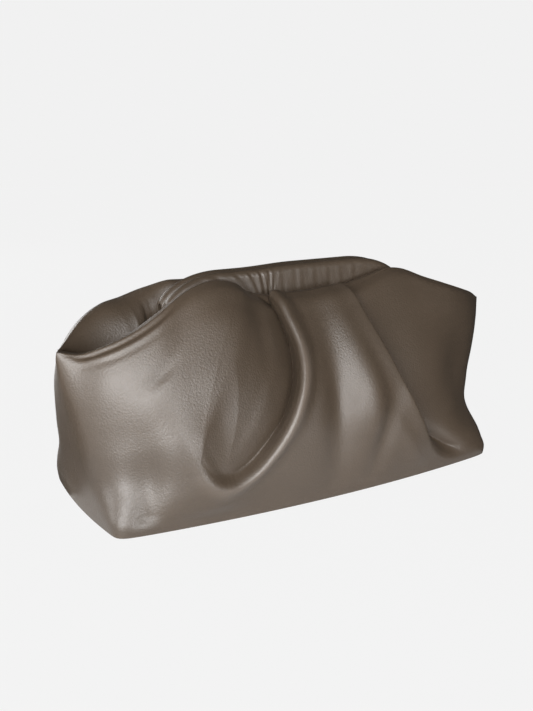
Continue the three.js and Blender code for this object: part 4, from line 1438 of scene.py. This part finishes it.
@dataclass(frozen=True)
class LeatherFinish:
    """A soft leather with a satin sheen."""

    name: str
    dark: tuple[float, float, float] = (0.040, 0.028, 0.018)
    light: tuple[float, float, float] = (0.066, 0.046, 0.030)
    # Painted highlight: a lighter colour, and a little less roughness, along the rolled edges where the stored share
    # is high.
    painted_sheen: tuple[float, float, float] = (0.105, 0.082, 0.064)
    highlight_gloss: float = 0.07
    rough_low: float = 0.40
    rough_high: float = 0.50
    reflection: float = 0.8
    variation_low: float = 0.3
    variation_high: float = 0.7
    grain_scale: float = 800.0
    grain_depth: float = 0.0003
    grain_strength: float = 0.55

    def build(self, group: bpy.types.NodeTree) -> bpy.types.Material:
        """Make the material: tone between dark and light, then a painted highlight: a lighter colour mixed in by the
        stored share on rolled edges.

        Args:
            group: The shared leather effect.

        Returns:
            The material.
        """
        material = bpy.data.materials.new(self.name)
        material.use_nodes = True
        tree = ShaderTree(material.node_tree)
        material.node_tree.nodes.clear()
        output = tree.add("ShaderNodeOutputMaterial")
        shader = tree.add("ShaderNodeBsdfPrincipled")
        shader.inputs["Specular IOR Level"].default_value = self.reflection
        tree.link(shader.outputs["BSDF"], output.inputs["Surface"])
        effect = tree.add("ShaderNodeGroup", node_tree=group)
        effect.inputs["Grain Scale"].default_value = self.grain_scale
        colour = tree.add("ShaderNodeValToRGB")
        stops = ((self.variation_low, self.dark), (self.variation_high, self.light))
        for element, (position, tone) in zip(colour.color_ramp.elements, stops):
            element.position = position
            element.color = (*tone, 1.0)
        tree.link(effect.outputs["Tone"], colour.inputs["Fac"])
        # Painted highlight: mix towards the lighter colour by the stored share.
        painted_highlight = tree.add("ShaderNodeAttribute", attribute_name="painted_highlight").outputs["Fac"]
        painted_sheen = tree.add("ShaderNodeMix", data_type="RGBA")
        painted_sheen.inputs["B"].default_value = (*self.painted_sheen, 1.0)
        tree.link(painted_highlight, painted_sheen.inputs["Factor"])
        tree.link(colour.outputs["Color"], painted_sheen.inputs["A"])
        tree.link(painted_sheen.outputs["Result"], shader.inputs["Base Color"])
        rough = tree.add("ShaderNodeMapRange")
        rough.inputs["From Min"].default_value = self.variation_low
        rough.inputs["From Max"].default_value = self.variation_high
        rough.inputs["To Min"].default_value = self.rough_low
        rough.inputs["To Max"].default_value = self.rough_high
        tree.link(effect.outputs["Gloss"], rough.inputs["Value"])
        gloss = tree.math("MULTIPLY", painted_highlight, self.highlight_gloss)
        roughness = tree.math("SUBTRACT", rough.outputs["Result"], gloss)
        tree.link(roughness, shader.inputs["Roughness"])
        bump = tree.bump(effect.outputs["Height"], self.grain_strength, self.grain_depth)
        tree.link(bump, shader.inputs["Normal"])
        return material


@dataclass(frozen=True)
class SoftLight:
    """A square soft light, by its direction from the bag in degrees.

    The turn is measured from straight in front of the bag, positive to the right.
    """

    name: str
    turn: float
    climb: float
    size: float
    power: float

    def way(self) -> Vector:
        """Unit direction from the bag to the light."""
        turn, climb = np.radians((self.turn, self.climb))
        return Vector((np.sin(turn) * np.cos(climb), -np.cos(turn) * np.cos(climb), np.sin(climb)))


@dataclass
class Studio:
    """Camera, soft lights, pale floor and pale backdrop.

    Places are in metres. The card's corners are its left, near, right and far edges, and
    the drops are how far the floor and the card lie under the bag, in millimetres.
    """

    camera_place: tuple[float, float, float] = (-0.3084, -0.5123, 0.2349)
    camera_way: tuple[float, float, float] = (0.4838, 0.8379, -0.2527)
    lens: float = 45.42
    sensor_width: float = 36.0
    clip_start: float = 0.01
    aim: tuple[float, float, float] = (0.0, 0.0, 0.07)
    light_distance: float = 1.2
    floor_tone: float = 0.015
    floor_drop: float = 0.2
    card_tone: float = 0.9
    card_corners: tuple[float, float, float, float] = (-0.9, -0.9, 0.14, 0.02)
    card_drop: float = 0.1
    backdrop_radius: float = 2.9
    backdrop_rings: int = 24
    backdrop_sides: int = 96
    pale: tuple[float, float, float] = (0.88, 0.88, 0.88)
    fill: float = 0.05
    lights: tuple[SoftLight, ...] = (
        SoftLight("low_left_light", -52.0, 9.0, 0.60, 12.0),
        SoftLight("low_front_light", 0.0, 7.0, 0.40, 6.5),
        SoftLight("high_left_light", -30.0, 30.0, 0.70, 11.0),
        SoftLight("side_light", -98.0, 12.0, 0.40, 5.5),
        SoftLight("back_light", -158.0, 8.0, 0.80, 9.0),
    )

    def add_camera(self) -> None:
        """Place the camera at the photograph's angle."""
        camera = bpy.data.cameras.new("photo_camera")
        camera.lens = self.lens
        camera.sensor_width = self.sensor_width
        camera.sensor_fit = "AUTO"
        camera.clip_start = self.clip_start
        seat = bpy.data.objects.new("photo_camera", camera)
        seat.location = self.camera_place
        seat.rotation_euler = Vector(self.camera_way).to_track_quat("-Z", "Y").to_euler()
        bpy.context.scene.collection.objects.link(seat)
        bpy.context.scene.camera = seat

    def add_light(self, soft: SoftLight) -> None:
        """Add a square soft light that looks at the middle of the bag.

        Args:
            soft: The light's size, power and direction.
        """
        light = bpy.data.lights.new(soft.name, "AREA")
        light.shape = "SQUARE"
        light.size = soft.size
        light.energy = soft.power
        lamp = bpy.data.objects.new(soft.name, light)
        way = soft.way()
        lamp.location = Vector(self.aim) + way * self.light_distance
        lamp.rotation_euler = (-way).to_track_quat("-Z", "Y").to_euler()
        bpy.context.scene.collection.objects.link(lamp)

    def pale_material(self, name: str, tone: float, glow: float) -> bpy.types.Material:
        """Pale matt surface with a tone of its own and a glow in the pale tone.

        Args:
            name: Name of the material.
            tone: Its own tone, 0 to 1.
            glow: Strength of its glow.

        Returns:
            The material.
        """
        material = bpy.data.materials.new(name)
        material.use_nodes = True
        shader = material.node_tree.nodes["Principled BSDF"]
        shader.inputs["Base Color"].default_value = (tone, tone, tone, 1.0)
        shader.inputs["Roughness"].default_value = 1.0
        shader.inputs["Specular IOR Level"].default_value = 0.0
        shader.inputs["Emission Color"].default_value = (*self.pale, 1.0)
        shader.inputs["Emission Strength"].default_value = glow
        return material

    def add_floor_and_backdrop(self) -> None:
        """Lay a round floor just under the bag and a dome of the same tone over it.

        The dome is a half sphere about the floor's middle. Neither lights the bag.
        """
        turn = np.linspace(0.0, 2.0 * np.pi, self.backdrop_sides, endpoint=False)
        climb = np.linspace(0.0, np.pi / 2.0, self.backdrop_rings + 1)[:-1, None]
        radius = self.backdrop_radius / METRES
        level = radius * np.sin(climb) * np.ones_like(turn) - self.floor_drop
        reach = radius * np.cos(climb)
        dome = np.stack((reach * np.cos(turn), reach * np.sin(turn), level), -1)
        floor = write_mesh("floor", dome[0], [tuple(range(self.backdrop_sides))])
        floor.data.materials.append(self.pale_material("pale_floor", self.floor_tone, 1.0))
        index = ring_numbers(self.backdrop_rings, self.backdrop_sides)
        faces = [*map(tuple, grid_faces(index).tolist()), tuple(index[-1, -2::-1].tolist())]
        backdrop = write_mesh("backdrop", dome.reshape(-1, 3), faces)
        backdrop.data.materials.append(self.pale_material("pale_backdrop", 0.0, 1.0))
        backdrop.visible_shadow = False
        for surface in (floor, backdrop):
            surface.visible_diffuse = False
            surface.visible_glossy = False
            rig.stage(surface)

    def add_reflector(self) -> None:
        """Lay a white card in front of the bag that throws light up at its lower front.

        The camera doesn't see the card, only its light.
        """
        left, near, right, far = (value / METRES for value in self.card_corners)
        corners = np.array(((left, near), (right, near), (right, far), (left, far)))
        corners = np.column_stack((corners, np.full(len(corners), -self.card_drop)))
        card = write_mesh("reflector_card", corners, [(0, 1, 2, 3)])
        card.data.materials.append(self.pale_material("reflector_white", self.card_tone, 0.0))
        card.visible_camera = False
        card.visible_shadow = False
        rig.stage(card)

    def add_fill(self) -> None:
        """Even dim light from all around."""
        world = bpy.data.worlds.new("even_fill")
        world.use_nodes = True
        background = world.node_tree.nodes["Background"]
        background.inputs["Color"].default_value = (*self.pale, 1.0)
        background.inputs["Strength"].default_value = self.fill
        bpy.context.scene.world = world

    def build(self) -> None:
        """Build the whole studio."""
        bpy.context.scene.view_settings.view_transform = "Standard"
        self.add_camera()
        for soft in self.lights:
            self.add_light(soft)
        self.add_floor_and_backdrop()
        self.add_reflector()
        self.add_fill()


@dataclass
class Bag:
    """The whole bag: panels, lips and base with their finishes."""

    quick: bool = field(default_factory=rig.quick)
    front_columns: int = 220
    front_rows: int = 76
    back_columns: int = 140
    back_rows: int = 60
    rows_behind: int = 12

    def dress(
        self, piece: bpy.types.Object, node: str, slot: str, material: bpy.types.Material
    ) -> None:
        """Give a piece its material and tie it to the node that it stands for.

        Args:
            piece: The new object.
            node: Node that it replaces.
            slot: Slot that its finish stands in.
            material: Its finish.
        """
        piece.data.materials.append(material)
        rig.ride(piece, "root")
        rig.replaces(piece, node)
        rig.slot(piece, slot)
        LOG.info("%s stands for %s", piece.name, node)

    def build(self, nodes: dict[str, bpy.types.Object]) -> None:
        """Build every piece.

        Args:
            nodes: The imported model's nodes by name.
        """
        group = LeatherSurface().build()
        body = LeatherFinish("body_leather").build(group)
        lip = LeatherFinish("lip_leather", grain_depth=0.00018).build(group)
        base = LeatherFinish("base_leather", grain_depth=0.00015).build(group)
        fine = 1 if self.quick else 2
        behind = self.rows_behind * fine
        front = FrontPanel(
            "front_leather", Side.FRONT, FRONT_CREST, FRONT_COLUMNS,
            columns=self.front_columns * fine, rows=self.front_rows * fine, rows_behind=behind,
            round_left="round_left",
        )
        back = Panel(
            "back_leather", Side.BACK, BACK_CREST, BACK_COLUMNS,
            columns=self.back_columns * fine, rows=self.back_rows * fine, rows_behind=behind,
        )
        self.dress(front.build(), "front_panel", "leather_body", body)
        self.dress(back.build(), "back_panel", "leather_body", body)
        self.dress(Lip("front_lip_leather", Side.FRONT).build(), "front_lip", "leather_lip", lip)
        self.dress(Lip("back_lip_leather", Side.BACK).build(), "back_lip", "leather_lip", lip)
        self.dress(Base("base_leather", front, back).build(), "base_panel", "leather_base", base)
        metal = nodes["hidden_frame"]
        metal.data.materials.clear()
        metal.data.materials.append(MetalFinish("dark_nickel").build())


def main() -> None:
    """Load the frame, build the bag and the studio, and write both boxes."""
    logging.basicConfig(level=logging.INFO)
    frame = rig.load()
    cad_box = [list(corner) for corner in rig.bounds()]
    Bag().build(frame["nodes"])
    Studio().build()
    seen_box = [list(corner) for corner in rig.bounds()]
    with open("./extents.json", "w", encoding="utf-8") as out:
        json.dump({"cad": cad_box, "visual": seen_box}, out)


if __name__ == "__main__":
    main()
